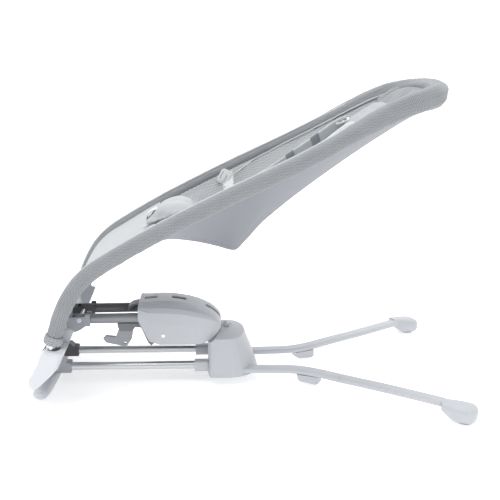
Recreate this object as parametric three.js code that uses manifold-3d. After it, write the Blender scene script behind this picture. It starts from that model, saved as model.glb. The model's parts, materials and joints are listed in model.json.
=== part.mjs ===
// Height-adjustable infant bouncer: a low floor base, a lift arm with a levelling rod,
// a carrier that stays level, and a fabric seat that reclines on the carrier.
// Millimetres. +X runs from the foot end to the head end, +Z is up, and the near side is -Y.
import * as THREE from 'three';
import { mergeVertices } from 'three/addons/utils/BufferGeometryUtils.js';
import Module from 'manifold-3d';

const wasm = await Module();
wasm.setup();

// ---------------------------------------------------------------- driving dimensions
const GAP = 0.3; // between pieces that touch
const RUNNING = 0.4; // radial clearance of a turning joint
const WALL = 3; // moulded plastic wall

const PIVOT = { x: -98, z: 139 }; // lift arm axle
const NOSE_RADIUS = 52; // housing end, round about the axle
const AXLE_RADIUS = 5;
const ARM = { length: 240, y: 36, halfWidth: 9, halfHeight: 10, tail: 9 };
const LIFT_ANGLE = Math.PI / 4; // from the lowest to the highest setting
const ARM_END = { x: PIVOT.x - ARM.length, z: PIVOT.z - 2 };
const ROD = { drop: 16, y: 14, radius: 4, eye: 7, pin: 3 }; // levelling rod, below the arm line

const RECLINE = { x: ARM_END.x - 34, z: 118 }; // where the seat tilts on its carrier
const FOOT_BAR_X = RECLINE.x - 33;
const FOOT_BAR = { halfLength: 148, halfWidth: 20, halfHeight: 16 };
const PAD_LIFT = 1.6; // rubber sole below the plastic

const HUB = { front: -78, middle: -40, rear: 26, halfWidth: 77, bottom: 20, top: 108, points: 32 };
const BASE_TUBE = { radius: 8.2, bore: 6.8, y: 48, z: 39, front: FOOT_BAR_X + 19, rear: HUB.front + 16 };
const COLLAR = { half: BASE_TUBE.radius + 3.6, length: 27 };

const HOUSING = { left: PIVOT.x - 120, halfWidth: ARM.y + ARM.halfWidth + 15, top: PIVOT.z + 33.5 };
const HOUSING_TIP = { x: PIVOT.x + NOSE_RADIUS * 0.92, z: PIVOT.z - NOSE_RADIUS * 0.385 };

const SEAT = { run: 752, rise: 480, halfWidth: 185, headHalfWidth: 150 };
const FRAME_TUBE = 9; // radius
const SIDE_ROLL = 17; // radius
const HEAD_ROLL = 22; // radius
const CLOTH = 3; // thickness of a cloth panel

const LEG = { halfWidth: 14, halfHeight: 5.5, z: 30, start: -16, seam: 190, end: 366 };
const FOOT = { x: 392, y: 254, halfLength: 33, height: 38 };
const STRAP = { halfWidth: 12.5, thickness: 1.8 };

// A place along the seat, as a share of its run from the recline pivot.
const alongSeat = (share) => RECLINE.x + SEAT.run * share;

// ---------------------------------------------------------------- solids
const v = (x, y, z) => new THREE.Vector3(x, y, z);

function weld(geometry) {
  geometry.deleteAttribute('normal');
  geometry.deleteAttribute('uv');
  return mergeVertices(geometry, 1e-4);
}

function volumeOf(geometry) {
  const at = geometry.attributes.position;
  const index = geometry.index.array;
  let six = 0;
  for (let i = 0; i < index.length; i += 3) {
    const [a, b, c] = [0, 1, 2].map((k) => new THREE.Vector3().fromBufferAttribute(at, index[i + k]));
    six += a.dot(b.cross(c));
  }
  return six / 6;
}

// Turns every face of a closed mesh to point out.
function outward(geometry) {
  if (volumeOf(geometry) < 0) {
    geometry.index.array.reverse();
  }
  return geometry;
}

// A closed solid skinned over rings with equal numbers of points. An open run is capped
// at both ends, and a looped run joins its last ring to its first.
function skin(rings, looped = false) {
  const count = rings[0].length;
  const points = rings.flat();
  const faces = [];
  const spans = looped ? rings.length : rings.length - 1;
  for (let r = 0; r < spans; r += 1) {
    const next = ((r + 1) % rings.length) * count;
    for (let i = 0; i < count; i += 1) {
      const j = (i + 1) % count;
      faces.push(r * count + i, r * count + j, next + j);
      faces.push(r * count + i, next + j, next + i);
    }
  }
  if (!looped) {
    capEnd(points, faces, 0, count, false);
    capEnd(points, faces, (rings.length - 1) * count, count, true);
  }
  const geometry = new THREE.BufferGeometry().setFromPoints(points);
  geometry.setIndex(faces);
  return outward(mergeVertices(geometry, 1e-4));
}

// Closes one end of a skin with triangles that lie in the ring's own plane.
function capEnd(points, faces, first, count, last) {
  const ring = points.slice(first, first + count);
  const normal = v(0, 0, 0);
  ring.forEach((p, i) => normal.add(new THREE.Vector3().crossVectors(p, ring[(i + 1) % count])));
  normal.normalize();
  const level = Math.abs(normal.z) < 0.9 ? v(0, 0, 1) : v(1, 0, 0);
  const across = new THREE.Vector3().crossVectors(level, normal).normalize();
  const up = new THREE.Vector3().crossVectors(normal, across);
  const flat = ring.map((p) => new THREE.Vector2(p.dot(across), p.dot(up)));
  for (const [a, b, c] of THREE.ShapeUtils.triangulateShape(flat, [])) {
    const ahead = THREE.ShapeUtils.area([flat[a], flat[b], flat[c]]) > 0;
    faces.push(...(ahead === last ? [a, b, c] : [c, b, a]).map((i) => i + first));
  }
}

// Points of a rounded section: power 1 is an ellipse, and a larger power is squarer.
function section(a, b, count = 12, power = 1) {
  const points = [];
  for (let i = 0; i < count; i += 1) {
    const angle = ((i + 0.5) / count) * 2 * Math.PI;
    const c = Math.cos(angle);
    const s = Math.sin(angle);
    const x = a * Math.sign(c) * Math.abs(c) ** (1 / power);
    const y = b * Math.sign(s) * Math.abs(s) ** (1 / power);
    points.push([x, y]);
  }
  return points;
}

// The section placed square to a curve at t, with its first axis level.
function ringAt(curve, t, points) {
  const place = curve.getPoint(t);
  const along = curve.getTangent(t);
  const level = new THREE.Vector3().crossVectors(along, v(0, 0, 1)).normalize();
  const up = new THREE.Vector3().crossVectors(level, along);
  return points.map(([a, b]) => place.clone().addScaledVector(level, a).addScaledVector(up, b));
}

// Equal steps from one value to another, both included.
function stations(from, to, count) {
  return Array.from({ length: count + 1 }, (_, i) => from + ((to - from) * i) / count);
}

// A bar along a curve, with a ring at each of the given places.
function sweepAt(curve, places, points) {
  return skin(places.map((t) => ringAt(curve, t, points)));
}

const sweep = (curve, steps, points) => sweepAt(curve, stations(0, 1, steps), points);

// A pipe along a curve: the outer skin, then back along the bore.
function pipeAt(curve, places, outer, inner) {
  const out = places.map((t) => ringAt(curve, t, outer));
  const back = places.map((t) => ringAt(curve, t, inner)).reverse();
  return skin([...out, ...back], true);
}

const pipe = (curve, steps, outer, inner) => pipeAt(curve, stations(0, 1, steps), outer, inner);

const line = (a, b) => new THREE.LineCurve3(a, b);
const smooth = (points) => new THREE.CatmullRomCurve3(points, false, 'centripetal');

function box(x0, x1, y0, y1, z0, z1) {
  const geometry = new THREE.BoxGeometry(x1 - x0, y1 - y0, z1 - z0);
  geometry.translate((x0 + x1) / 2, (y0 + y1) / 2, (z0 + z1) / 2);
  return weld(geometry);
}

// A round bar along Y.
function pinY(x, z, radius, y0, y1, sides = 16) {
  const geometry = new THREE.CylinderGeometry(radius, radius, y1 - y0, sides);
  geometry.translate(x, (y0 + y1) / 2, z);
  return weld(geometry);
}

function pinZ(x, y, radius, z0, z1, sides = 20) {
  const geometry = new THREE.CylinderGeometry(radius, radius, z1 - z0, sides);
  geometry.rotateX(Math.PI / 2);
  geometry.translate(x, y, (z0 + z1) / 2);
  return weld(geometry);
}

// A plate standing in the XZ plane, from an outline, between two values of Y.
function plate(outline, y0, y1) {
  const shape = outline instanceof THREE.Shape ? outline : new THREE.Shape(outline);
  const options = { depth: y1 - y0, bevelEnabled: false, curveSegments: 8 };
  const geometry = new THREE.ExtrudeGeometry(shape, options);
  geometry.rotateX(Math.PI / 2);
  geometry.translate(0, y1, 0);
  return outward(weld(geometry));
}

const xz = (x, z) => new THREE.Vector2(x, z);

function toSolid(geometry) {
  const vertProperties = Float32Array.from(geometry.attributes.position.array);
  const triVerts = Uint32Array.from(geometry.index.array);
  return new wasm.Manifold(new wasm.Mesh({ numProp: 3, vertProperties, triVerts }));
}

function toGeometry(solid) {
  const mesh = solid.getMesh();
  const geometry = new THREE.BufferGeometry();
  geometry.setAttribute('position', new THREE.BufferAttribute(mesh.vertProperties, 3));
  geometry.setIndex(new THREE.BufferAttribute(mesh.triVerts, 1));
  return geometry;
}

const join = (...parts) => toGeometry(parts.map(toSolid).reduce((a, b) => a.add(b)));
const cut = (first, ...tools) => toGeometry(tools.map(toSolid).reduce((a, b) => a.subtract(b), toSolid(first)));
const common = (a, b) => toGeometry(toSolid(a).intersect(toSolid(b)));

function mirrored(geometry) {
  return outward(geometry.clone().scale(1, -1, 1));
}

// ---------------------------------------------------------------- the object
const bouncer = new THREE.Group();
const finish = {
  lightPlastic: { color: 0xc6cbd2, roughness: 0.42, metalness: 0 },
  white: { color: 0xeef0f2, roughness: 0.38, metalness: 0 },
  darkPlastic: { color: 0x85888d, roughness: 0.5, metalness: 0 },
  steel: { color: 0xa9adb1, roughness: 0.3, metalness: 0.9 },
  armPaint: { color: 0x9a9da2, roughness: 0.4, metalness: 0.6 },
  rubber: { color: 0xb9bcc0, roughness: 0.85, metalness: 0 },
  knit: { color: 0xa9aeb2, roughness: 0.95, metalness: 0 },
  jersey: { color: 0xc9cdd0, roughness: 0.95, metalness: 0 },
  sling: { color: 0xa3a6b1, roughness: 0.9, metalness: 0 },
  webbing: { color: 0xd9dbdc, roughness: 0.85, metalness: 0 },
  buckle: { color: 0xd5d8d9, roughness: 0.4, metalness: 0 },
};

function place(name, geometry, look) {
  const mesh = new THREE.Mesh(geometry, new THREE.MeshStandardMaterial(finish[look]));
  mesh.name = name;
  bouncer.add(mesh);
}

// A near piece and its mirror image on the far side.
function placePair(name, nearGeometry, look) {
  place(`${name}_near`, nearGeometry, look);
  place(`${name}_far`, mirrored(nearGeometry), look);
}

// ---------------------------------------------------------------- base
function footBarBody(grow = 0) {
  const rings = [];
  const { halfLength, halfWidth, halfHeight } = FOOT_BAR;
  const steps = 12;
  for (let i = 0; i <= steps; i += 1) {
    const angle = Math.PI * (i / steps - 0.5) * 0.985;
    const bulge = Math.cos(angle) ** 0.3;
    const y = (halfLength + grow) * Math.sin(angle);
    const ring = section((halfWidth + grow) * bulge, (halfHeight - PAD_LIFT / 2 + grow) * bulge, 20, 1.15);
    rings.push(ring.map(([a, b]) => v(FOOT_BAR_X + a, y, halfHeight + PAD_LIFT / 2 + b)));
  }
  return skin(rings);
}

const BAR_PAD = { y: 80, radius: 11, depth: 4 };

function footBar() {
  const y = BAR_PAD.y;
  const recess = BAR_PAD.radius + GAP;
  const pockets = [-y, y].map((at) => pinZ(FOOT_BAR_X, at, recess, -1, BAR_PAD.depth + GAP));
  return cut(footBarBody(), ...pockets);
}

// Holds a base tube and hooks over the foot bar.
function tubeSocket() {
  const { y, z, radius, front } = BASE_TUBE;
  const outline = [
    xz(front + 29, z - radius - 2), xz(front + 29, z + radius + 2), xz(front + 20, z + radius + 3),
    xz(front + 12, z + 19), xz(front + 4, z + 15), xz(front - 12, z + 4), xz(front - 12, z - 8),
    xz(front - 2, z - radius - 2),
  ];
  const body = plate(outline, -y - radius - 4, -y + radius + 4);
  const around = section(radius + GAP, radius + GAP, 20);
  const bore = sweep(line(v(front - GAP, -y, z), v(front + 60, -y, z)), 1, around);
  return cut(body, bore, footBarBody(GAP));
}

function baseTube() {
  const { y, z, radius, bore, front, rear } = BASE_TUBE;
  const axis = line(v(front, -y, z), v(rear, -y, z));
  return pipe(axis, 1, section(radius, radius, 20), section(bore, bore, 20));
}

function tubeCollar() {
  const { y, z, radius } = BASE_TUBE;
  const rear = HUB.front - GAP;
  const axis = line(v(rear - COLLAR.length, -y, z - 1), v(rear, -y, z - 1));
  const body = sweep(axis, 1, section(COLLAR.half, COLLAR.half, 20, 1.8));
  const bore = sweep(line(v(rear - 60, -y, z), v(rear + 9, -y, z)), 1, section(radius + GAP, radius + GAP, 20));
  return cut(body, bore);
}

// A D-shaped plan: square to the front, round to the rear, drawn in from bottom to top.
function hubBody(inset, bottom) {
  const rings = [];
  const top = HUB.top - inset;
  const steps = 7;
  for (let k = 0; k <= steps; k += 1) {
    const up = k / steps;
    const draw = Math.sqrt(1 - 0.93 * Math.max(0, (up - 0.86) / 0.14) ** 2);
    const z = bottom + (top - bottom) * (k === steps ? 1 : up * 1.04);
    const halfWidth = (HUB.halfWidth - 15 * up ** 1.4 - inset) * (0.25 + 0.75 * draw);
    const rear = (HUB.rear - HUB.middle - 33 * up ** 1.1 - inset) * (0.15 + 0.85 * draw);
    const front = HUB.middle - HUB.front - inset;
    const ring = [];
    for (let i = 0; i < HUB.points; i += 1) {
      const angle = ((i + 0.5) / HUB.points) * 2 * Math.PI;
      const c = Math.cos(angle);
      const s = Math.sin(angle);
      const reach = c > 0 ? rear * c ** 0.9 : -front * Math.abs(c) ** 0.16;
      const side = c > 0 ? Math.abs(s) ** 0.9 : Math.abs(s) ** 0.55;
      ring.push(v(HUB.middle + reach, halfWidth * Math.sign(s) * side, z));
    }
    rings.push(ring);
  }
  return skin(rings);
}

const SADDLE = NOSE_RADIUS + 2;

// Stands in the hub, passes the saddle and carries the arm axle and the rod pin.
function postOutline(grow = 0) {
  const shape = new THREE.Shape();
  const r = 12 + grow;
  shape.moveTo(PIVOT.x - r, PIVOT.z);
  shape.lineTo(PIVOT.x - r, PIVOT.z - ROD.drop);
  shape.absarc(PIVOT.x, PIVOT.z - ROD.drop, r, Math.PI, 1.32 * Math.PI, false);
  shape.lineTo(HUB.front + 9 - grow, 78);
  shape.lineTo(HUB.front + 6 - grow, 26);
  shape.lineTo(HUB.front + 34 + grow, 26);
  shape.lineTo(HUB.front + 30 + grow, 84);
  shape.lineTo(PIVOT.x + r, PIVOT.z - 12);
  shape.absarc(PIVOT.x, PIVOT.z, r, 0, Math.PI, false);
  return shape;
}

const POST_HALF = 7;

function pivotPost() {
  const pinX = PIVOT.x;
  const pinHeight = PIVOT.z - ROD.drop;
  const body = plate(postOutline(), -POST_HALF, POST_HALF);
  const stub = pinY(pinX, pinHeight, ROD.pin, 0, ROD.y + 5);
  const bore = pinY(PIVOT.x, PIVOT.z, AXLE_RADIUS + GAP, -20, 20, 24);
  return cut(join(body, stub), bore);
}

// The leg's plan, from inside the hub out to the rear foot.
function legCurve(from, to) {
  const spread = FOOT.y / 254;
  const plan = [[-16, 53], [40, 55], [104, 61], [146, 81], [188, 110], [267, 163], [366, 235]];
  const whole = smooth(plan.map(([x, y]) => v(x, -y * spread, LEG.z)));
  const points = [];
  const steps = 22;
  for (let i = 0; i <= steps; i += 1) {
    points.push(whole.getPoint(i / steps));
  }
  const kept = points.filter((p) => p.x > from + 4 && p.x < to - 4);
  const at = (x) => {
    let t = 0;
    for (let step = 0.5; step > 1e-7; step /= 2) {
      t += whole.getPoint(t + step).x < x ? step : 0;
    }
    return whole.getPoint(t);
  };
  return smooth([at(from), ...kept, at(to)]);
}

function legSection(from, to, steps, grow = 0) {
  const profile = section(LEG.halfWidth + grow, LEG.halfHeight + grow, 12, 2);
  return sweep(legCurve(from, to), steps, profile);
}

function hubShell() {
  const outer = hubBody(0, HUB.bottom);
  const saddle = pinY(PIVOT.x, PIVOT.z, SADDLE, -120, 120, 48);
  const inside = cut(hubBody(WALL, HUB.bottom - 4), pinY(PIVOT.x, PIVOT.z, SADDLE + WALL, -120, 120, 48));
  const { y, z, radius } = BASE_TUBE;
  const holes = [-y, y].map((at) => {
    const axis = line(v(HUB.front - 20, at, z), v(HUB.front + 20, at, z));
    return sweep(axis, 1, section(radius + GAP, radius + GAP, 20));
  });
  const legSlot = legSection(LEG.start, LEG.seam, 14, GAP);
  const postSlot = plate(postOutline(RUNNING), -POST_HALF - RUNNING, POST_HALF + RUNNING);
  const tabHalf = TAB.half + RUNNING;
  const crown = TAB.crown + RUNNING;
  const tabSlot = box(TAB.middle - crown, TAB.middle + crown, -tabHalf, tabHalf, TAB.bottom + 5, TAB.top + 20);
  return cut(outer, saddle, inside, ...holes, legSlot, mirrored(legSlot), postSlot, tabSlot);
}

function hubFloor() {
  const top = HUB.bottom + WALL;
  const slab = box(HUB.front, HUB.rear + 20, -100, 100, HUB.bottom, top);
  return common(hubBody(WALL + GAP, HUB.bottom - 4), slab);
}

const TAB = { middle: -39, stem: 3, crown: 4.5, half: 9, bottom: HUB.top - 28, top: HUB.top + 8 };

function lockTab() {
  const { middle, stem, crown, half, bottom, top } = TAB;
  const post = box(middle - stem, middle + stem, -half, half, bottom, top - crown);
  const grip = pinY(middle, top - crown, crown, -half, half);
  const flange = box(middle - stem - 4, middle + stem + 4, -half - 3, half + 3, bottom, bottom + 4);
  return join(post, grip, flange);
}

// Boot-shaped rear foot, with a socket for the leg and a round sole.
function footOutline() {
  const heel = FOOT.x - FOOT.halfLength;
  const rings = stations(0, 1, 13).map((step) => {
    const t = Math.sin((Math.PI / 2) * step);
    const closing = Math.max(0, (t - 0.78) / 0.22);
    const round = Math.sqrt(1 - 0.985 * closing ** 2);
    const halfWidth = (15 + 11 * Math.sin(Math.PI * 0.6 * t)) * round;
    const top = FOOT.height - 7 * t ** 2 - 5 * (1 - round);
    const arch = 18 * Math.max(0, 1 - t / 0.42) ** 1.4;
    const bottom = PAD_LIFT + 1.2 + arch + 15 * (1 - round);
    const half = (top - bottom) / 2;
    const points = section(halfWidth, half, 18, 1.6);
    return points.map(([a, b]) => v(heel + 2 * FOOT.halfLength * t, a, bottom + half + b));
  });
  return skin(rings);
}

const SOLE = { radius: 13, depth: 4, forward: 10 };

function turnToLeg(geometry) {
  const slope = Math.atan2(62, 88);
  geometry.translate(-FOOT.x, 0, 0);
  geometry.rotateZ(-slope * 0.6);
  geometry.translate(FOOT.x, -FOOT.y, 0);
  return geometry;
}

function rearFoot() {
  const shell = footOutline();
  const recess = pinZ(FOOT.x + SOLE.forward, 0, SOLE.radius + GAP, -2, SOLE.depth + GAP);
  const socket = legSection(LEG.seam, LEG.end, 12, GAP);
  return cut(turnToLeg(cut(shell, recess)), socket);
}

function rearSole() {
  return turnToLeg(pinZ(FOOT.x + SOLE.forward, 0, SOLE.radius, 0, SOLE.depth));
}

// A wedge under the knee of the leg.
function midPad() {
  const outline = [xz(106, 23.8), xz(110, 12), xz(116, 9), xz(146, 7), xz(152, 10), xz(152, 23.8)];
  const pad = plate(outline, -11, 11);
  pad.translate(-130, 0, 0);
  pad.rotateZ(-0.42);
  pad.translate(130, (-72 * FOOT.y) / 254, 0);
  return cut(pad, legSection(LEG.start, LEG.seam, 14, GAP));
}

function buildBase() {
  place('front_foot_bar', footBar(), 'lightPlastic');
  const padZ = BAR_PAD.depth;
  placePair('front_sole', pinZ(FOOT_BAR_X, -BAR_PAD.y, BAR_PAD.radius, 0, padZ), 'rubber');
  placePair('tube_socket', tubeSocket(), 'darkPlastic');
  placePair('base_tube', baseTube(), 'steel');
  placePair('tube_collar', tubeCollar(), 'lightPlastic');
  place('hub_shell', hubShell(), 'lightPlastic');
  place('pivot_post', cut(pivotPost(), box(-200, 100, -20, 20, 0, HUB.bottom + WALL + GAP)), 'darkPlastic');
  const legCut = legSection(LEG.start, LEG.seam, 14, GAP);
  place('hub_floor', cut(hubFloor(), legCut, mirrored(legCut)), 'lightPlastic');
  place('arm_axle', pinY(PIVOT.x, PIVOT.z, AXLE_RADIUS, -ARM.y - 10.5, ARM.y + 10.5, 24), 'steel');
  place('lock_tab', lockTab(), 'lightPlastic');
  placePair('leg_front', legSection(LEG.start, LEG.seam - GAP / 2, 14), 'lightPlastic');
  placePair('leg_rear', legSection(LEG.seam + GAP / 2, LEG.end, 12), 'lightPlastic');
  placePair('mid_pad', midPad(), 'lightPlastic');
  placePair('rear_foot', rearFoot(), 'lightPlastic');
  placePair('rear_sole', rearSole(), 'rubber');
}

// ---------------------------------------------------------------- lift arm
function liftArm() {
  const slope = (ARM_END.z - PIVOT.z) / (ARM_END.x - PIVOT.x);
  const from = v(ARM_END.x - ARM.tail + 2, -ARM.y, ARM_END.z - slope * (ARM.tail - 2));
  const to = v(PIVOT.x + ARM.tail, -ARM.y, PIVOT.z + slope * ARM.tail);
  const bar = sweep(line(from, to), 1, section(ARM.halfWidth, ARM.halfHeight, 16, 1.3));
  const bore = AXLE_RADIUS + RUNNING;
  return cut(
    bar,
    pinY(PIVOT.x, PIVOT.z, bore, -ARM.y - 20, -ARM.y + 20, 24),
    pinY(ARM_END.x, ARM_END.z, bore, -ARM.y - 20, -ARM.y + 20, 24),
  );
}

// Ties the two arms together above the levelling rod.
function knuckle() {
  const inner = ARM.y - ARM.halfWidth - GAP;
  const under = PIVOT.z - ROD.drop * Math.cos(LIFT_ANGLE) + ROD.radius + RUNNING;
  return box(PIVOT.x - 62, PIVOT.x - 26, -inner, inner, under, PIVOT.z + 12);
}

// The housing's bottom and top edge at a place along X. Its nose is round about the axle below,
// so it turns in the hub's saddle.
function housingHeights(x) {
  const { left, top } = HOUSING;
  const slant = Math.max(0, 1 - (x - left) / 24);
  const forward = Math.max(0, x - PIVOT.x);
  const bottom = PIVOT.z - Math.sqrt(NOSE_RADIUS ** 2 - forward ** 2) + 52 * slant ** 0.8;
  const crest = left + 50;
  const tip = HOUSING_TIP.z;
  const fall = Math.min(1, Math.max(0, x - crest) / (HOUSING_TIP.x - crest));
  const crown = top - 4 * Math.max(0, 1 - (x - left) / 40);
  return [bottom, crown - (crown - tip) * (1 - Math.sqrt(1 - fall ** 1.7))];
}

function housingBody(inset, leftInset) {
  const rings = [];
  const nose = HOUSING_TIP.x - inset;
  const left = HOUSING.left + leftInset;
  const steps = 12;
  for (let i = 0; i <= steps; i += 1) {
    const u = Math.sin((Math.PI / 2) * (i / steps));
    const x = left + (nose - left) * Math.min(u, 0.9985);
    const [bottom, top] = housingHeights(x);
    const t = (x - HOUSING.left) / (HOUSING_TIP.x - HOUSING.left);
    const narrow = 1 - 0.34 * Math.max(0, (t - 0.6) / 0.4) ** 2.4;
    const halfWidth = HOUSING.halfWidth * narrow - inset;
    const low = inset ? bottom - 12 : bottom;
    const high = Math.max(top - inset, low + 1);
    rings.push(archRing(x, halfWidth, low, high));
  }
  return skin(rings);
}

// A section with a flat bottom, upright sides and a round top.
function archRing(x, halfWidth, low, high) {
  const ring = [v(x, halfWidth, low), v(x, halfWidth, low + (high - low) * 0.3)];
  const count = 10;
  for (let i = 0; i <= count; i += 1) {
    const angle = (Math.PI * i) / count;
    const c = Math.cos(angle);
    const y = halfWidth * Math.sign(c) * Math.abs(c) ** 0.64;
    const z = low + (high - low) * (0.5 + 0.5 * Math.sin(angle) ** 0.5);
    ring.push(v(x, y, z));
  }
  ring.push(v(x, -halfWidth, low + (high - low) * 0.3), v(x, -halfWidth, low));
  return ring;
}

// Slots along the crest: two finger slots, then the long one that clears the post.
function crestSlots() {
  const top = HOUSING.top + 10;
  const slots = [[10, 36], [66, 96]].map(([x0, x1]) => {
    return box(HOUSING.left + x0, HOUSING.left + x1, -8, 8, HOUSING.top - 16, top);
  });
  const rear = PIVOT.x + NOSE_RADIUS + 10;
  const clear = POST_HALF + 1;
  const post = box(PIVOT.x - 6, rear, -clear, clear, PIVOT.z - 60, PIVOT.z + 14);
  return [...slots, post];
}

function housingHalf() {
  const hollow = housingBody(WALL, -8);
  const shell = cut(housingBody(0, 0), hollow, ...crestSlots());
  const screw = pinY(HOUSING.left + 50, PIVOT.z - 34, 3.5, -70, -10);
  return cut(common(shell, box(-300, 100, -100, -GAP / 2, 0, 300)), screw);
}

// The release lever hangs from a clip under the near arm, between that arm and the levelling rod.
const LEVER = { x: PIVOT.x - 146, z: ARM_END.z - 20.5, y: -ARM.y + ARM.halfWidth - 3, half: 4.7, pin: 2.5 };

function leverClip() {
  const { x, y, half } = LEVER;
  const z = ARM_END.z - ARM.halfHeight - GAP;
  const outline = [
    xz(x - 18, z), xz(x - 18, z - 6), xz(x - 12, z - 16), xz(x + 12, z - 16), xz(x + 18, z - 8), xz(x + 30, z - 9),
    xz(x + 44, z - 42), xz(x + 50, z - 48), xz(x + 56, z - 43), xz(x + 46, z - 10), xz(x + 40, z),
  ];
  const body = plate(outline, y - half - 5, y + half + 5);
  const slot = box(x - 30, x + 16, y - half - GAP, y + half + GAP, z - 60, z - 5);
  const bore = pinY(x, LEVER.z, LEVER.pin + GAP, y - half - 3, y + half + 3);
  return cut(body, slot, bore);
}

// A long finger plate with an eye at its lowest corner.
function releaseLever() {
  const { x, z, y, half, pin } = LEVER;
  const outline = [
    xz(x - 49, z - 24), xz(x - 43, z - 18), xz(x - 23, z - 21), xz(x - 16, z - 2), xz(x - 8, z + 3),
    xz(x + 7, z + 3), xz(x + 13, z - 6), xz(x + 10, z - 24), xz(x - 1, z - 41), xz(x - 5, z - 42.5),
    xz(x - 13, z - 39), xz(x - 43, z - 32),
  ];
  const body = plate(outline, y - half, y + half);
  const eye = pinY(x - 4, z - 34, 3, y - 12, y + 12);
  return join(cut(body, eye), pinY(x, z, pin, y - half - 2, y + half + 2));
}

// A dark quarter-round guard in the mouth of the housing, above the arms.
function housingGuard() {
  const { left, top } = HOUSING;
  const outline = new THREE.Shape();
  outline.moveTo(left - 26, top - 26);
  outline.quadraticCurveTo(left - 22, top - 9, left + 2, top - 10);
  outline.lineTo(left + 12, top - 10);
  outline.lineTo(left + 12, top - 13);
  outline.quadraticCurveTo(left - 16, top - 12, left - 20, top - 26);
  return plate(outline, -14, 14);
}

function buildArm() {
  placePair('lift_arm', liftArm(), 'armPaint');
  place('arm_knuckle', knuckle(), 'darkPlastic');
  placePair('arm_housing', housingHalf(), 'lightPlastic');
  place('lever_clip', leverClip(), 'darkPlastic');
  place('release_lever', releaseLever(), 'darkPlastic');
  place('housing_guard', housingGuard(), 'darkPlastic');
}

// Levelling rod: an eye at each end and a straight shank.
function levellingRod() {
  const { drop, y, radius, eye, pin } = ROD;
  const a = v(ARM_END.x, y, ARM_END.z - drop);
  const b = v(PIVOT.x, y, PIVOT.z - drop);
  const shank = sweep(line(a, b), 1, section(radius, radius, 12));
  const ends = [a, b].map((p) => pinY(p.x, p.z, eye, y - radius, y + radius, 20));
  const bores = [pinY(a.x, a.z, pin + 1, y - 9, y + 9), pinY(b.x, b.z, pin + RUNNING, y - 9, y + 9)];
  return cut(join(shank, ...ends), ...bores);
}

// ---------------------------------------------------------------- carrier
const CLEVIS = { front: ARM_END.x - 24, rear: ARM_END.x + 22, cheek: 4.2 };

// A fork about the end of one arm, with a square collar at its mouth.
function clevis(side) {
  const { front, rear, cheek } = CLEVIS;
  const { x, z } = ARM_END;
  const y = side * ARM.y;
  const inner = ARM.halfWidth + 0.6;
  const half = inner + cheek;
  const outline = new THREE.Shape();
  outline.moveTo(front, z - 25);
  outline.lineTo(front + 10, z - 25);
  outline.quadraticCurveTo(x - 2, z - 24, x + 10, z - 14);
  outline.lineTo(rear - 8, z - 12);
  outline.lineTo(rear, z - 12);
  outline.lineTo(rear, z + 12);
  outline.lineTo(rear - 9, z + 12);
  outline.lineTo(rear - 11, z + 7);
  outline.lineTo(front, z + 6);
  const body = plate(outline, y - half, y + half);
  const slot = box(front + 8, rear + 9, y - inner, y + inner, z - 80, z + 60);
  const bore = pinY(x, z, AXLE_RADIUS + GAP, y - 30, y + 30, 24);
  if (side < 0) {
    return cut(body, slot, bore);
  }
  const lug = pinY(x, z - ROD.drop, ROD.pin + 3, y - half, y - inner - GAP);
  const stub = pinY(x, z - ROD.drop, ROD.pin, ROD.y - 5, y - inner - 1);
  return cut(join(body, lug, stub), slot, bore);
}

// Slanted cross panel behind the front shell, with a cheek at each end beside the seat's tube.
function carrierPanel() {
  const back = CLEVIS.front - GAP;
  const { x, z } = RECLINE;
  const outline = [
    xz(back, z + 30), xz(back, z - 8), xz(x + 2, z - 26), xz(x - 6, z - 24), xz(x + 2, z - 2), xz(x + 5, z + 30),
  ];
  const cheek = [
    xz(x + 5, z + 30), xz(x + 2, z - 2), xz(x - 6, z - 24), xz(x - 8, z - 40), xz(x + 6, z - 47),
    xz(x + 19, z - 17), xz(x + 28, z + 2), xz(x + 34, z + 16), xz(x + 41, z + 32), xz(x + 30, z + 36),
  ];
  const { inner } = SHELL;
  const ends = [-1, 1].map((side) => {
    const y = side * (inner - 4);
    return plate(cheek, y - 4, y + 4);
  });
  return join(plate(outline, -inner, inner), ...ends);
}

const SHELL = { half: SEAT.halfWidth + 20, inner: SEAT.halfWidth - 32, wellHalf: FRAME_TUBE + 2.5 };

// White moulded front: a slanted wedge whose ends hold the seat's side tubes.
function frontShell() {
  const rings = stations(-1, 1, 16).map((step) => {
    const s = Math.sin((Math.PI / 2) * step);
    const end = Math.max(0, Math.abs(s) - 0.86) / 0.14;
    const shrink = 1 - 0.2 * end ** 4;
    return shellOutline(shrink).map(([x, z]) => v(x, SHELL.half * s, z));
  });
  const body = skin(rings);
  const { x, z } = RECLINE;
  const wells = [-1, 1].map((side) => {
    const y = side * SEAT.halfWidth;
    const spine = line(v(x - 4, y, z - 12), v(x + 17, y, z + 44));
    return sweep(spine, 1, section(SHELL.wellHalf, 16, 20, 1.2));
  });
  const inner = SHELL.inner + GAP;
  const behind = plate([
    xz(x - 8 - GAP, z - 41), xz(x + 7, z - 50), xz(x + 60, z - 20), xz(x + 60, z + 50), xz(x - 2, z + 50),
    xz(x - 2, z - 2), xz(x - 7, z - 22),
  ], -inner, inner);
  return cut(body, ...wells, behind);
}

function shellOutline(shrink) {
  const centre = [RECLINE.x - 20, RECLINE.z - 42];
  const corners = [
    [4, 13], [-6, 16], [-16, 3], [-24, -16], [-34, -34], [-42, -48], [-43.5, -55], [-41, -64], [-36, -70],
    [-30, -71], [-16, -59], [-2, -46], [10, -34], [19, -18], [31, 9],
  ];
  return corners.map(([dx, dz]) => [
    centre[0] + (RECLINE.x + dx - centre[0]) * shrink,
    centre[1] + (RECLINE.z + dz - centre[1]) * shrink,
  ]);
}

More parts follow.
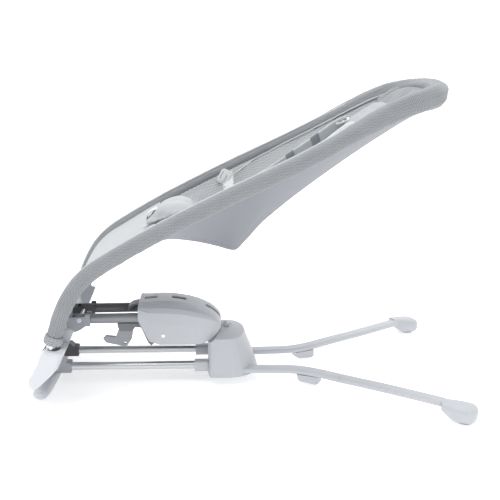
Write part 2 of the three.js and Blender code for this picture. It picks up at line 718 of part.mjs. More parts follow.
function buildCarrier() {
  place('clevis_near', clevis(-1), 'darkPlastic');
  place('clevis_far', clevis(1), 'darkPlastic');
  const reach = ARM.y + ARM.halfWidth + CLEVIS.cheek;
  place('carrier_axle', pinY(ARM_END.x, ARM_END.z, AXLE_RADIUS, -reach, reach, 24), 'steel');
  place('carrier_panel', carrierPanel(), 'lightPlastic');
  place('front_shell', frontShell(), 'white');
}

// ---------------------------------------------------------------- seat
// Side profile from the recline pivot to the head: [share of run, share of rise].
const PROFILE = [
  [0, 0], [0.026, 0.125], [0.078, 0.275], [0.186, 0.395], [0.41, 0.581], [0.63, 0.744], [0.9, 0.953], [1, 0.985],
];
const profileCurve = smooth(
  PROFILE.map(([a, b]) => v(alongSeat(a), 0, RECLINE.z + SEAT.rise * b)),
);
const profile = [];
for (let i = 0; i <= 400; i += 1) {
  profile.push(profileCurve.getPoint(i / 400));
}

// Height of the frame line at a place along X.
function frameHeight(x) {
  const k = profile.findIndex((p) => p.x >= x);
  const [a, b] = [profile[Math.max(0, k - 1)], profile[k < 0 ? 400 : Math.max(1, k)]];
  return a.z + ((b.z - a.z) * (x - a.x)) / (b.x - a.x || 1);
}

const HEAD_START = alongSeat(0.885); // where the bow leaves the side line
const JOINT = alongSeat(0.76); // where the side tubes end in the bow

// Half the seat's width to the middle of the frame tube.
function halfWidthAt(x) {
  if (x > HEAD_START) {
    const bow = Math.min(1, (x - HEAD_START) / (RECLINE.x + SEAT.run - HEAD_START));
    return SEAT.headHalfWidth * (1 - bow * bow) ** 0.45;
  }
  const t = Math.min(1, Math.max(0, (x - 60) / (HEAD_START - 60)));
  return SEAT.halfWidth + (SEAT.headHalfWidth - SEAT.halfWidth) * t * t * (3 - 2 * t);
}

// The near side line, from the recline pivot to the joint with the bow.
function sidePath() {
  const points = stations(0, 1, 12).map((share) => {
    const x = RECLINE.x - 1 + (JOINT - GAP - RECLINE.x) * share ** 1.55;
    return v(x, -halfWidthAt(x), frameHeight(x));
  });
  return smooth(points);
}

// The bow: straight ends, then half an ellipse in plan.
function bowPath() {
  const lead = stations(JOINT, HEAD_START, 3).slice(0, 3);
  const straight = lead.map((x) => v(x, -halfWidthAt(x), frameHeight(x)));
  const end = RECLINE.x + SEAT.run;
  const round = stations(0, Math.PI / 2, 6).map((angle) => {
    const x = HEAD_START + (end - HEAD_START) * Math.sin(angle);
    return v(x, -SEAT.headHalfWidth * Math.cos(angle) ** 0.9, frameHeight(x));
  });
  const points = [...straight, ...round];
  const other = points.slice(0, -1).reverse().map((p) => v(p.x, -p.y, p.z));
  return smooth([...points, ...other]);
}

// Rings along a frame tube: its two ends, and the stretch between that a roll covers.
const covered = (first, last, count) => [0, ...stations(first, last, count), 1];
const SIDE_PLACES = covered(0.05, 0.998, 16);
const BOW_PLACES = covered(0.002, 0.998, 26);

const tubeSection = section(FRAME_TUBE, FRAME_TUBE, 10);
const boreSection = section(FRAME_TUBE + 0.8, FRAME_TUBE + 0.8, 10);
const sideTube = () => sweepAt(sidePath(), SIDE_PLACES, tubeSection);
const headBow = () => sweepAt(bowPath(), BOW_PLACES, tubeSection);

function sideRoll() {
  return pipeAt(sidePath(), SIDE_PLACES.slice(2, -1), section(SIDE_ROLL, SIDE_ROLL, 10), boreSection);
}

function headRoll() {
  return pipeAt(bowPath(), BOW_PLACES.slice(1, -1), section(HEAD_ROLL, HEAD_ROLL, 10), boreSection);
}

// Underside of the seat bag along the middle: down to its low point, then up the back.
const CALF_END = alongSeat(0.271);
const BAG = {
  knee: alongSeat(0.242),
  low: alongSeat(0.468),
  head: alongSeat(0.952),
  lowZ: RECLINE.z + SEAT.rise * 0.342,
  lowHalf: SEAT.halfWidth * 0.36,
  kneeHalf: SEAT.halfWidth * 0.81,
  headHalf: SEAT.headHalfWidth * 0.61,
};

function bagHeight(x) {
  const knee = frameHeight(BAG.knee) - 15;
  const head = frameHeight(BAG.head) - 26;
  if (x < BAG.low) {
    const t = (x - BAG.knee) / (BAG.low - BAG.knee);
    return knee + (BAG.lowZ - knee) * t ** 2;
  }
  const t = (x - BAG.low) / (BAG.head - BAG.low);
  return BAG.lowZ + (head - BAG.lowZ) * t ** 0.8;
}

function bagHalf(x) {
  const t = x < BAG.low ? (BAG.low - x) / (BAG.low - BAG.knee) : (x - BAG.low) / (BAG.head - BAG.low);
  const far = x < BAG.low ? BAG.kneeHalf : BAG.headHalf;
  return BAG.lowHalf + (far - BAG.lowHalf) * t ** 1.3;
}

function bagStrip(from, to) {
  const rings = stations(from, to, 7).map((x) => {
    const half = bagHalf(x) - 1;
    const z = bagHeight(x);
    return [v(x, -half, z), v(x, half, z), v(x, half, z + CLOTH), v(x, -half, z + CLOTH)];
  });
  return skin(rings);
}

// Side wall of the bag, from the roll's lower inner edge to the edge of the bag strip.
function bagGusset() {
  const rings = stations(BAG.knee + 24, BAG.head - 40, 12).map((x) => {
    const underRoll = frameHeight(x) - SIDE_ROLL - 6;
    const low = v(x, -bagHalf(x) - 1.5, bagHeight(x) + 0.5);
    const high = v(x, -halfWidthAt(x) + SIDE_ROLL * 0.45, underRoll);
    const across = high.clone().sub(low).normalize();
    const thick = v(0, across.z, -across.y).multiplyScalar(CLOTH);
    return [low, high, high.clone().sub(thick), low.clone().sub(thick)];
  });
  return skin(rings);
}

// Seating surface: a trough that hangs between the rolls and clears the bag.
const TROUGH = { half: SEAT.halfWidth - 33, drop: 14, thickness: 7, clear: 12 };

function troughHeight(x, y) {
  const rim = frameHeight(x) - TROUGH.drop;
  const depth = Math.max(3, rim - bagHeight(x) - CLOTH - TROUGH.clear - TROUGH.thickness);
  const half = troughHalf(x);
  return rim - depth * (1 - Math.min(1, Math.abs(y) / half) ** 2.3);
}

function troughHalf(x) {
  return halfWidthAt(x) - (SEAT.halfWidth - TROUGH.half);
}

function troughPad(from, to, count) {
  const rings = stations(from, to, count).map((x) => {
    const half = troughHalf(x);
    const across = stations(-half, half, 8);
    const top = across.map((y) => v(x, y, troughHeight(x, y)));
    const under = [...across].reverse().map((y) => v(x, y, troughHeight(x, y) - TROUGH.thickness));
    return [...top, ...under];
  });
  return skin(rings);
}

// Cloth from the front shell up to the knee: in front of the rolls low down, between them above.
function calfPanel() {
  const half = SEAT.halfWidth - SIDE_ROLL - 1;
  const first = profile.findIndex((p) => p.z > RECLINE.z + 22);
  const last = profile.findIndex((p) => p.x > CALF_END);
  const picked = stations(first, last, 11).map((k) => Math.round(k));
  const rings = picked.map((k) => {
    const p = profile[k];
    const along = profile[k + 1].clone().sub(profile[k - 1]).normalize();
    const up = v(-along.z, 0, along.x);
    const rise = Math.min(1, (p.z - RECLINE.z) / 150);
    const top = p.clone().addScaledVector(up, 15 - 20 * rise);
    const low = top.clone().addScaledVector(up, -CLOTH);
    return [v(low.x, -half, low.z), v(low.x, half, low.z), v(top.x, half, top.z), v(top.x, -half, top.z)];
  });
  return skin(rings);
}

function pillow() {
  const rings = [];
  const length = 96;
  const half = SEAT.headHalfWidth * 0.61;
  const start = alongSeat(0.755);
  for (let i = 0; i <= 10; i += 1) {
    const angle = Math.PI * (0.04 + 0.92 * (i / 10));
    const x = start + (length * (1 - Math.cos(angle))) / 2;
    const size = Math.sin(angle) ** 0.6;
    const rest = frameHeight(x) - TROUGH.drop + 3;
    rings.push(section(half * size, 12 * size, 16, 1.2).map(([a, b]) => v(x, a, rest + 12 + b)));
  }
  return skin(rings);
}

// A strap laid on the seating surface.
function layStrap(x0, y0, x1, y1, lift, halfWidth, thickness, count = 8) {
  const along = v(x1 - x0, y1 - y0, 0).normalize();
  const rings = stations(0, 1, count).map((t) => {
    const x = x0 + (x1 - x0) * t;
    const y = y0 + (y1 - y0) * t;
    const edges = [-1, 1].map((side) => {
      const ex = x - along.y * halfWidth * side;
      const ey = y + along.x * halfWidth * side;
      return v(ex, ey, troughHeight(ex, ey) + lift);
    });
    const raised = edges.map((p) => v(p.x, p.y, p.z + thickness));
    return [edges[0], edges[1], raised[1], raised[0]];
  });
  return skin(rings);
}

const SHOULDER = { x0: alongSeat(0.609), x1: alongSeat(0.745), y: 62 };
const WAIST = { x: alongSeat(0.4335), inner: SEAT.halfWidth - 101, outer: SEAT.halfWidth - 55 };

function shoulderStrap() {
  return layStrap(SHOULDER.x0, -SHOULDER.y, SHOULDER.x1, -SHOULDER.y, 4, STRAP.halfWidth, STRAP.thickness);
}

function shoulderAdjuster() {
  const lift = 4 + STRAP.thickness + GAP + 1;
  return layStrap(SHOULDER.x1 - 20, -SHOULDER.y, SHOULDER.x1 - 2, -SHOULDER.y, lift, STRAP.halfWidth + 5, 6, 2);
}

function waistStrap() {
  return layStrap(WAIST.x, -WAIST.outer, WAIST.x - 6, -WAIST.inner, 5, STRAP.halfWidth, STRAP.thickness, 5);
}

function waistBuckle() {
  return layStrap(WAIST.x - 7, WAIST.inner - 3, WAIST.x - 10, WAIST.inner - 44, 5, STRAP.halfWidth + 4, 9, 2);
}

// Tongue of the crotch strap: rises from the knee and leans to the head.
function crotchGuard() {
  const x = alongSeat(0.247);
  const z = frameHeight(x);
  const spine = smooth([v(x, 0, z + 3), v(x + 10, 0, z + 22), v(x + 30, 0, z + 30), v(x + 52, 0, z + 24)]);
  const body = sweep(spine, 8, section(29, 5, 14, 1.6));
  return cut(body, box(x + 2, x + 14, -15, 15, z + 4, z + 60));
}

function buildSeat() {
  placePair('side_tube', sideTube(), 'steel');
  place('head_bow', headBow(), 'steel');
  placePair('side_roll', sideRoll(), 'knit');
  place('head_roll', headRoll(), 'knit');
  place('calf_panel', calfPanel(), 'jersey');
  placePair('bag_gusset', bagGusset(), 'sling');
  place('bag_seat', bagStrip(BAG.knee, BAG.low - GAP), 'sling');
  place('bag_back', bagStrip(BAG.low + GAP, BAG.head), 'sling');
  place('insert_seat', troughPad(CALF_END + 6, BAG.low - 2, 6), 'knit');
  place('insert_back', troughPad(BAG.low + 2, BAG.head - 7, 11), 'knit');
  place('head_pillow', pillow(), 'jersey');
  place('crotch_guard', crotchGuard(), 'jersey');
  placePair('waist_strap', waistStrap(), 'webbing');
  place('waist_buckle', waistBuckle(), 'buckle');
  placePair('shoulder_strap', shoulderStrap(), 'webbing');
  placePair('shoulder_adjuster', shoulderAdjuster(), 'buckle');
}

buildBase();
buildArm();
place('levelling_rod', levellingRod(), 'steel');
buildCarrier();
buildSeat();

export default bouncer;
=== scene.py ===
# %% [markdown]
# # Infant bouncer
# The real object is a fabric bucket seat on a bent steel tube, carried by a lift arm on a low floor base.
# The hard parts come ready from the frame and only get their finishes here. Everything sewn is made in this
# file, because cloth needs a finer surface than a plain solid gives.

# %% Load the frame
import bpy
import bmesh
import json
import math
from mathutils import Matrix, Vector
from mathutils.bvhtree import BVHTree


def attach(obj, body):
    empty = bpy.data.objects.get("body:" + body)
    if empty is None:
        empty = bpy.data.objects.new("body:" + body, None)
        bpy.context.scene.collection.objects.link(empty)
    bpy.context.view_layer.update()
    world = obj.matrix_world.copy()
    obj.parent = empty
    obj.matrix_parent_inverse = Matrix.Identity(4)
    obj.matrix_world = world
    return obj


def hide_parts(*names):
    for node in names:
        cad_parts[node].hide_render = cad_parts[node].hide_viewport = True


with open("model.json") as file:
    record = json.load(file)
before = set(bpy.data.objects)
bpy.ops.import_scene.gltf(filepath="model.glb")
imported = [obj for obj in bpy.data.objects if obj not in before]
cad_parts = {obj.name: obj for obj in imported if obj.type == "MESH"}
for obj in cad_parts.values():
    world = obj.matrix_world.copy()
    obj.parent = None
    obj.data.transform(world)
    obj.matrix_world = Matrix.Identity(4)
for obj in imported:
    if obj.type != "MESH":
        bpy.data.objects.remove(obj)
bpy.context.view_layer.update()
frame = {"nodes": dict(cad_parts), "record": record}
MM = 0.001

# %% [markdown]
# ## Camera, floor and light
# The seat is seen almost square from its near side, a little from above. A long lens keeps the two sides
# close in size. The floor is a large pale sheet that curves up behind, so no horizon shows, and three wide
# soft lamps leave only faint shadows under the feet.

# %% Camera
CAMERA_AT = Vector((-0.050, -1.722, 0.690))
LOOK_DOWN = math.radians(13.71)
LOOK_ASIDE = math.radians(2.02)
SENSOR, FOCAL_LENGTH = 36, 61.98
lens = bpy.data.cameras.new("camera")
lens.sensor_width = SENSOR
lens.lens = FOCAL_LENGTH
camera = bpy.data.objects.new("camera", lens)
camera.location = CAMERA_AT
camera.rotation_euler = (math.pi / 2 - LOOK_DOWN, 0, -LOOK_ASIDE)
bpy.context.scene.collection.objects.link(camera)
bpy.context.scene.camera = camera
print("camera", tuple(round(x, 3) for x in camera.location))


# %% A helper that turns a bmesh into an object
def finish_mesh(name, shape, closed=True):
    bmesh.ops.remove_doubles(shape, verts=shape.verts, dist=1e-6)
    if closed:
        bmesh.ops.recalc_face_normals(shape, faces=shape.faces)
    mesh = bpy.data.meshes.new(name)
    shape.to_mesh(mesh)
    shape.free()
    for face in mesh.polygons:
        face.use_smooth = True
    made = bpy.data.objects.new(name, mesh)
    bpy.context.scene.collection.objects.link(made)
    print(name, len(mesh.polygons), "faces")
    return made


# %% Floor and backdrop
FLOOR_HALF, BACKDROP_Y, BACKDROP_CURVE, BACKDROP_RISE = 6, 3.5, 1.5, 6


def make_floor():
    shape = bmesh.new()
    bmesh.ops.create_grid(shape, x_segments=1, y_segments=1, size=FLOOR_HALF)
    back = [edge for edge in shape.edges if all(v.co.y > BACKDROP_Y for v in edge.verts)]
    bmesh.ops.translate(shape, verts=back[0].verts, vec=(0, BACKDROP_Y - FLOOR_HALF, 0))
    pivot = Vector((0, BACKDROP_Y, BACKDROP_CURVE))
    bmesh.ops.spin(shape, geom=back, cent=pivot, axis=(1, 0, 0), angle=math.pi / 2, steps=16)
    high = max(v.co.z for v in shape.verts)
    top = [edge for edge in shape.edges if all(v.co.z > high - 1e-4 for v in edge.verts)]
    raised = bmesh.ops.extrude_edge_only(shape, edges=top)
    lifted = [v for v in raised["geom"] if isinstance(v, bmesh.types.BMVert)]
    bmesh.ops.translate(shape, verts=lifted, vec=(0, 0, BACKDROP_RISE))
    return finish_mesh("floor", shape, closed=False)


floor = make_floor()


# %% Lamps and sky
def area_lamp(name, place, aim, size, power):
    lamp = bpy.data.lights.new(name, "AREA")
    lamp.shape = "DISK"
    lamp.size = size
    lamp.energy = power
    holder = bpy.data.objects.new(name, lamp)
    holder.location = place
    holder.rotation_euler = (Vector(aim) - Vector(place)).to_track_quat("-Z", "Y").to_euler()
    bpy.context.scene.collection.objects.link(holder)


SEAT_MIDDLE = (0, 0, 0.3)
SKY_STRENGTH = 0.72
area_lamp("key", (-1.2, -1.5, 2.8), SEAT_MIDDLE, 1.6, 34)
area_lamp("fill", (2.2, -1.6, 1.6), SEAT_MIDDLE, 2.2, 9)
area_lamp("top", (0.2, 0.7, 3.0), SEAT_MIDDLE, 2.0, 50)
sky = bpy.data.worlds.new("sky")
bpy.context.scene.world = sky
sky.use_nodes = True
sky_light = sky.node_tree.nodes["Background"].inputs
sky_light["Color"].default_value = (1, 1, 1, 1)
sky_light["Strength"].default_value = SKY_STRENGTH
bpy.context.scene.view_settings.view_transform = "Standard"
print("lamps ready")

# %% [markdown]
# ## A small language for finishes
# Every finish below is a pattern worked out from numbers on wires. A small class wraps a wire, so that sums
# are written as sums, and one method adds any other node.


# %% Wires and finishes
class Wire:
    """One output of a node. Sums on it add Math nodes."""

    def __init__(self, finish, socket):
        self.finish, self.socket = finish, socket

    def math(self, operation, *values):
        return self.finish.node("Math", {"operation": operation}, dict(enumerate(values)))

    def __add__(self, other):
        return self.math("ADD", self, other)

    def __radd__(self, other):
        return self.math("ADD", other, self)

    def __sub__(self, other):
        return self.math("SUBTRACT", self, other)

    def __rsub__(self, other):
        return self.math("SUBTRACT", other, self)

    def __mul__(self, other):
        return self.math("MULTIPLY", self, other)

    def __rmul__(self, other):
        return self.math("MULTIPLY", other, self)

    def __truediv__(self, other):
        return self.math("DIVIDE", self, other)

    def __pow__(self, other):
        return self.math("POWER", self, other)

    def sin(self):
        return self.math("SINE", self)

    def abs(self):
        return self.math("ABSOLUTE", self)

    def floor(self):
        return self.math("FLOOR", self)

    def fract(self):
        return self.math("FRACT", self)

    def step(self, low, high):
        """0 below low, 1 above high, smooth between."""
        settings = {"interpolation_type": "SMOOTHSTEP"}
        return self.finish.node("MapRange", settings, {"Value": self, "From Min": low, "From Max": high})


class Finish:
    """A material under construction."""

    def __init__(self, name, colour, roughness, metallic=0.0):
        self.material = bpy.data.materials.new(name)
        self.material.use_nodes = True
        self.tree = self.material.node_tree
        self.shader = self.tree.nodes["Principled BSDF"]
        self.colour = (*colour, 1.0)
        self.set("Base Color", self.colour)
        self.set("Roughness", roughness)
        self.set("Metallic", metallic)

    def set(self, socket, value):
        self.plug(self.shader.inputs[socket], value)

    def plug(self, socket, value):
        if isinstance(value, Wire):
            self.tree.links.new(value.socket, socket)
        else:
            socket.default_value = value

    def node(self, kind, settings=None, inputs=None, output=0):
        made = self.tree.nodes.new("ShaderNode" + kind)
        for key, value in (settings or {}).items():
            setattr(made, key, value)
        for key, value in (inputs or {}).items():
            self.plug(made.inputs[key], value)
        return Wire(self, made.outputs[output])

    def noise(self, where, scale, detail):
        inputs = {"Vector": where, "Scale": scale, "Detail": detail, "Roughness": 0.5}
        return self.node("TexNoise", {}, inputs)

    def mix(self, factor, first, second):
        """Two colours mixed by a wire."""
        return self.node("Mix", {"data_type": "RGBA"}, {0: factor, 6: first, 7: second}, output=2)

    def shade(self, factor, dark=0.8, light=1.1):
        """The finish's own colour, from dark to light as the wire goes from 0 to 1."""
        low = tuple(c * dark for c in self.colour[:3]) + (1,)
        high = tuple(min(1, c * light) for c in self.colour[:3]) + (1,)
        self.set("Base Color", self.mix(factor, low, high))

    def bump(self, height, strength, distance):
        settings = {"Height": height, "Strength": strength, "Distance": distance}
        self.set("Normal", self.node("Bump", {}, settings))

    def place(self):
        return self.node("TexCoord", {}, {}, output=3)

    def along_cloth(self):
        """The piece's own map, in metres: across the cloth, then along it."""
        uv = self.node("UVMap", {"uv_map": "cloth"})
        split = self.tree.nodes.new("ShaderNodeSeparateXYZ")
        self.tree.links.new(uv.socket, split.inputs[0])
        return Wire(self, split.outputs[0]), Wire(self, split.outputs[1]), uv


print("finish language ready")

# %% [markdown]
# ## Moulded plastics and metal
# The housing, hub, legs and feet are one pale grey plastic with a fine spark-eroded grain. The front shell is
# whiter and glossier. The brackets are a darker grey. The tubes are plated or painted steel, whose fine
# streaks run along the tube.


# %% Hard finishes
def moulded(name, colour, roughness, grain=0.00002, grain_scale=1400):
    finish = Finish(name, colour, roughness)
    where = finish.place()
    fine = finish.noise(where, grain_scale, 3)
    broad = finish.noise(where, 9, 2)
    finish.shade(broad * 0.6 + fine * 0.4, 0.955, 1.03)
    finish.set("Roughness", roughness - 0.05 + 0.1 * fine)
    finish.bump(fine, 0.35, grain)
    return finish.material


def drawn_metal(name, colour, roughness, metallic=1.0, coat=0.0):
    finish = Finish(name, colour, roughness, metallic)
    where = finish.place()
    squeeze = finish.node("Mapping", {}, {"Vector": where, "Scale": (6, 900, 900)})
    streak = finish.noise(squeeze, 1.0, 3)
    finish.shade(streak, 0.88, 1.08)
    finish.set("Roughness", roughness - 0.06 + 0.14 * streak)
    finish.bump(streak, 0.15, 0.00002)
    finish.set("Coat Weight", coat)
    return finish.material


LIGHT_PLASTIC = moulded("light_plastic", (0.50, 0.518, 0.548), 0.42)
WHITE_SHELL = moulded("white_shell", (0.62, 0.635, 0.67), 0.28)
DARK_PLASTIC = moulded("dark_plastic", (0.19, 0.197, 0.21), 0.46)
BUCKLE = moulded("buckle", (0.58, 0.60, 0.60), 0.36)
RUBBER = moulded("rubber", (0.42, 0.435, 0.45), 0.85, 0.00006, 700)
# Lit and shaded copies of the bracket plastic and the arm paint. The lighter one is painted light for the
# near clevis, socket and lever. The two darker ones are painted shade for the far clevis, socket and lift arm
# under the seat.
PAINTED_LIGHT_PLASTIC = moulded("painted_light_plastic", (0.33, 0.345, 0.375), 0.44)
PAINTED_SHADE_PLASTIC = moulded("painted_shade_plastic", (0.085, 0.083, 0.084), 0.46)
PAINTED_SHADE_ARM_PAINT = drawn_metal("painted_shade_arm_paint", (0.12, 0.12, 0.125), 0.42, 0.75, 0.2)
STEEL = drawn_metal("steel", (0.62, 0.63, 0.65), 0.27)
ARM_PAINT = drawn_metal("arm_paint", (0.26, 0.27, 0.29), 0.42, 0.75, 0.2)
print("hard finishes ready")

# %% [markdown]
# ## Cloth
# The rim and the inner seat are a spacer mesh: a thick knit with small open pits in staggered rows. The calf
# panel and the pillow are a smooth jersey. The bag underneath is a thin plain weave. All of them read the
# piece's own map, measured in metres, so a stitch has the same size everywhere.


# %% Cloth finishes
def soft_sheen(finish, weight=0.35):
    finish.set("Sheen Weight", weight)
    finish.set("Sheen Roughness", 0.45)
    finish.set("Specular IOR Level", 0.2)


def spacer_mesh(name, colour, pitch):
    finish = Finish(name, colour, 0.9)
    across, along, uv = finish.along_cloth()
    row = (along / (pitch * 0.8)).floor()
    cell_x = (across / pitch + row * 0.5).fract() - 0.5
    cell_y = (along / (pitch * 0.8)).fract() - 0.5
    from_middle = (cell_x * cell_x + cell_y * cell_y) ** 0.5
    wall = from_middle.step(0.17, 0.4)
    yarn = ((across / (pitch * 0.25)).sin() * 0.5 + 0.5) * wall
    patches = finish.noise(uv, 24, 3)
    finish.shade(wall * 0.66 + patches * 0.22 + yarn * 0.12, 0.34, 1.28)
    finish.set("Roughness", 0.95 - 0.12 * wall)
    finish.bump(wall + yarn * 0.35, 0.9, 0.0010)
    soft_sheen(finish)
    return finish.material


JERSEY_PITCH = 0.0018


def jersey(name, colour):
    finish = Finish(name, colour, 0.92)
    across, along, uv = finish.along_cloth()
    wale = (across * (2 * math.pi / JERSEY_PITCH)).sin().abs()
    course = ((along + across * 0.5) * (2 * math.pi / JERSEY_PITCH)).sin() * 0.5 + 0.5
    loop = wale * 0.7 + course * 0.3
    patches = finish.noise(uv, 16, 3)
    finish.shade(loop * 0.45 + patches * 0.55, 0.86, 1.08)
    finish.bump(loop, 0.5, 0.0003)
    soft_sheen(finish, 0.3)
    return finish.material


WEAVE_PITCH = 0.0011


def plain_weave(name, colour):
    finish = Finish(name, colour, 0.85)
    across, along, uv = finish.along_cloth()
    warp = (across * (math.pi / WEAVE_PITCH)).sin()
    weft = (along * (math.pi / WEAVE_PITCH)).sin()
    over = warp * weft * 0.5 + 0.5
    patches = finish.noise(uv, 10, 3)
    finish.shade(over * 0.35 + patches * 0.65, 0.9, 1.06)
    finish.set("Roughness", 0.8 + 0.1 * over)
    finish.bump(over, 0.4, 0.0002)
    soft_sheen(finish, 0.25)
    return finish.material


def webbing(name, colour, pitch=0.0016):
    finish = Finish(name, colour, 0.8)
    across, along, uv = finish.along_cloth()
    rib = (along * (2 * math.pi / pitch) + (across * (math.pi / 0.003)).sin() * 1.2).sin() * 0.5 + 0.5
    worn = finish.noise(uv, 60, 2)
    finish.shade(rib * 0.7 + worn * 0.3, 0.84, 1.07)
    finish.bump(rib, 0.6, 0.0004)
    soft_sheen(finish, 0.2)
    return finish.material


KNIT = spacer_mesh("knit", (0.30, 0.314, 0.332), 0.0034)
KNIT_FINE = spacer_mesh("knit_inner", (0.36, 0.376, 0.39), 0.0046)
JERSEY = jersey("jersey", (0.46, 0.475, 0.49))
PILLOW = jersey("pillow_jersey", (0.37, 0.388, 0.408))
SLING = plain_weave("sling_cloth", (0.25, 0.26, 0.288))
WEBBING = webbing("webbing", (0.70, 0.725, 0.735))
ELASTIC = webbing("elastic", (0.36, 0.38, 0.42), 0.0024)
PIPING = webbing("piping", (0.60, 0.63, 0.65), 0.0012)
FLOOR_GLOW = 0.42
FLOOR = moulded("floor", (0.90, 0.90, 0.905), 0.7, 0.00001, 300)
glow = FLOOR.node_tree.nodes["Principled BSDF"]
glow.inputs["Emission Color"].default_value = (1, 1, 1, 1)
glow.inputs["Emission Strength"].default_value = FLOOR_GLOW
floor.data.materials.append(FLOOR)
print("cloth finishes ready")

# %% [markdown]
# ## Finishes on the hard parts
# The frame's record says which finish each hard part has, so one loop puts them on.

# %% Dress the hard parts
SLOT_FINISH = {
    "light_plastic": LIGHT_PLASTIC, "white_shell": WHITE_SHELL, "dark_plastic": DARK_PLASTIC, "steel": STEEL,
    "arm_paint": ARM_PAINT, "rubber": RUBBER, "knit": KNIT, "jersey": JERSEY, "sling_cloth": SLING,
    "webbing": WEBBING, "buckle": BUCKLE,
}
# The near clevis, socket and lever take the lighter copy as painted light. The far clevis, socket and lift
# arm take the darker copies as painted shade from the seat above.
NODE_FINISH = {
    "clevis_near": PAINTED_LIGHT_PLASTIC, "tube_socket_near": PAINTED_LIGHT_PLASTIC, "release_lever": PAINTED_LIGHT_PLASTIC,
    "clevis_far": PAINTED_SHADE_PLASTIC, "tube_socket_far": PAINTED_SHADE_PLASTIC, "lift_arm_far": PAINTED_SHADE_ARM_PAINT,
}
for part in frame["record"]["subparts"]:
    node = frame["nodes"][part["node"]]
    node.data.materials.clear()
    special = NODE_FINISH.get(part["node"])
    node.data.materials.append(special or SLOT_FINISH[part["material_slot"]])

# %% [markdown]
# ## The rim line
# Every sewn piece follows the bent tube, so the tube's middle line is measured first. A tube's mesh is a row
# of rings, and points closer than a ring's width belong to one ring.


# %% Measure the tube
def ring_middles(node, reach):
    """The middle of each ring of a swept tube, in order along it."""
    rings = []
    for vertex in frame["nodes"][node].data.vertices:
        near = [ring for ring in rings if any((vertex.co - p).length < reach for p in ring)]
        joined = [vertex.co.copy()]
        for ring in near:
            joined += ring
            rings.remove(ring)
        rings.append(joined)
    return [sum(ring, Vector()) / len(ring) for ring in rings]


TUBE = 9 * MM
side = sorted(ring_middles("side_tube_near", TUBE * 0.75), key=lambda p: p.x + p.z)
bow = sorted(ring_middles("head_bow", TUBE * 0.75), key=lambda p: p.y)
print("rings", len(side), len(bow))


# %% Smooth the line
def smooth_line(points, between):
    """Points on a smooth curve through the given ones."""
    made = []
    for i in range(len(points) - 1):
        a, b = points[max(i - 1, 0)], points[i]
        c, d = points[i + 1], points[min(i + 2, len(points) - 1)]
        for k in range(between):
            t = k / between
            bend = (2 * a - 5 * b + 4 * c - d) * t * t + (3 * b - a - 3 * c + d) * t ** 3
            made.append(0.5 * (2 * b + (c - a) * t + bend))
    made.append(points[-1])
    return made


def even_line(points, gap):
    """The same line with its points an equal distance apart."""
    lengths = [0.0]
    for a, b in zip(points, points[1:]):
        lengths.append(lengths[-1] + (b - a).length)
    count = max(2, round(lengths[-1] / gap))
    made, k = [], 0
    for i in range(count + 1):
        want = lengths[-1] * i / count
        while k < len(lengths) - 2 and lengths[k + 1] < want:
            k += 1
        share = (want - lengths[k]) / max(1e-9, lengths[k + 1] - lengths[k])
        made.append(points[k].lerp(points[k + 1], share))
    return made


near_line = side[:-1]
bow_line = bow[1:-1]
far_line = [Vector((p.x, -p.y, p.z)) for p in reversed(near_line)]
rim_line = even_line(smooth_line(near_line + bow_line + far_line, 8), 8 * MM)
print("rim length", round(sum((b - a).length for a, b in zip(rim_line, rim_line[1:])), 3))

# %% [markdown]
# ## Shared sheet tools
# The flat and hanging cloth pieces are all grids: rows along the cloth and columns across it. One helper
# lays a grid over two running numbers, gives it a map in metres, and can give it thickness, so that a hem
# has an edge. Ray casting onto the frame's plain solids says where each soft piece lies.

# %% Heights of the frame's solids
SURFACES = {}


def surface_of(*names):
    """A search tree over some of the frame's solids."""
    if names not in SURFACES:
        points, faces = [], []
        for name in names:
            node = frame["nodes"][name]
            start = len(points)
            points += [node.matrix_world @ v.co for v in node.data.vertices]
            faces += [[start + k for k in face.vertices] for face in node.data.polygons]
        SURFACES[names] = BVHTree.FromPolygons(points, faces)
    return SURFACES[names]


def height_under(names, x, y, high=1.0, down=-1):
    """Where a vertical ray meets the solids, or None."""
    hit = surface_of(*names).ray_cast(Vector((x, y, high)), Vector((0, 0, down)))
    return hit[0].z if hit[0] else None


def between(table, x):
    """A value from a short list of (place, value) pairs, joined smoothly."""
    if x <= table[0][0]:
        return table[0][1]
    for (a, low), (b, high) in zip(table, table[1:]):
        if x <= b:
            t = (x - a) / (b - a)
            return low + (high - low) * t * t * (3 - 2 * t)
    return table[-1][1]


def rim_at(x):
    """The rim's middle line on the near side, at a place along the seat."""
    line = [p for p in rim_line if p.y <= 0]
    for a, b in zip(line, line[1:]):
        if a.x <= x <= b.x:
            return a.lerp(b, (x - a.x) / max(1e-9, b.x - a.x))
    return line[0] if x < line[0].x else line[-1]


# %% A grid of cloth
def cloth_grid(name, rows, columns, place, thick, finish):
    """place(u, w) gives the point at two shares: along the cloth, then across it."""
    shape = bmesh.new()
    bmesh.ops.create_grid(shape, x_segments=columns, y_segments=rows, size=0.5)
    shares = {v: (v.co.y + 0.5, v.co.x + 0.5) for v in shape.verts}
    for v, (u, w) in shares.items():
        v.co = place(u, w)
    width = sum((place(0.5, k / 12) - place(0.5, (k + 1) / 12)).length for k in range(12))
    length = sum((place(k / 24, 0.5) - place((k + 1) / 24, 0.5)).length for k in range(24))
    cloth = shape.loops.layers.uv.new("cloth")
    for face in shape.faces:
        for loop in face.loops:
            u, w = shares[loop.vert]
            loop[cloth].uv = (w * width, u * length)
    made = finish_mesh(name, shape, closed=False)
    wall = made.modifiers.new("thickness", "SOLIDIFY")
    wall.thickness = thick
    wall.offset = 0.0
    made.data.materials.append(finish)
    return made


def area_of(piece):
    """The cloth's measured area: one face of the sheet."""
    return sum(face.area for face in piece.data.polygons)


def hand_to_seat(piece, slot, *nodes):
    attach(piece, "seat")
    if nodes:
        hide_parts(*nodes)


# %% [markdown]
# ## The padded rim
# A padded sleeve of spacer mesh covers the tube from foot to foot. It is a ring pushed along the tube: slim
# along the sides, thicker at the head, where spare cloth lies in long folds.


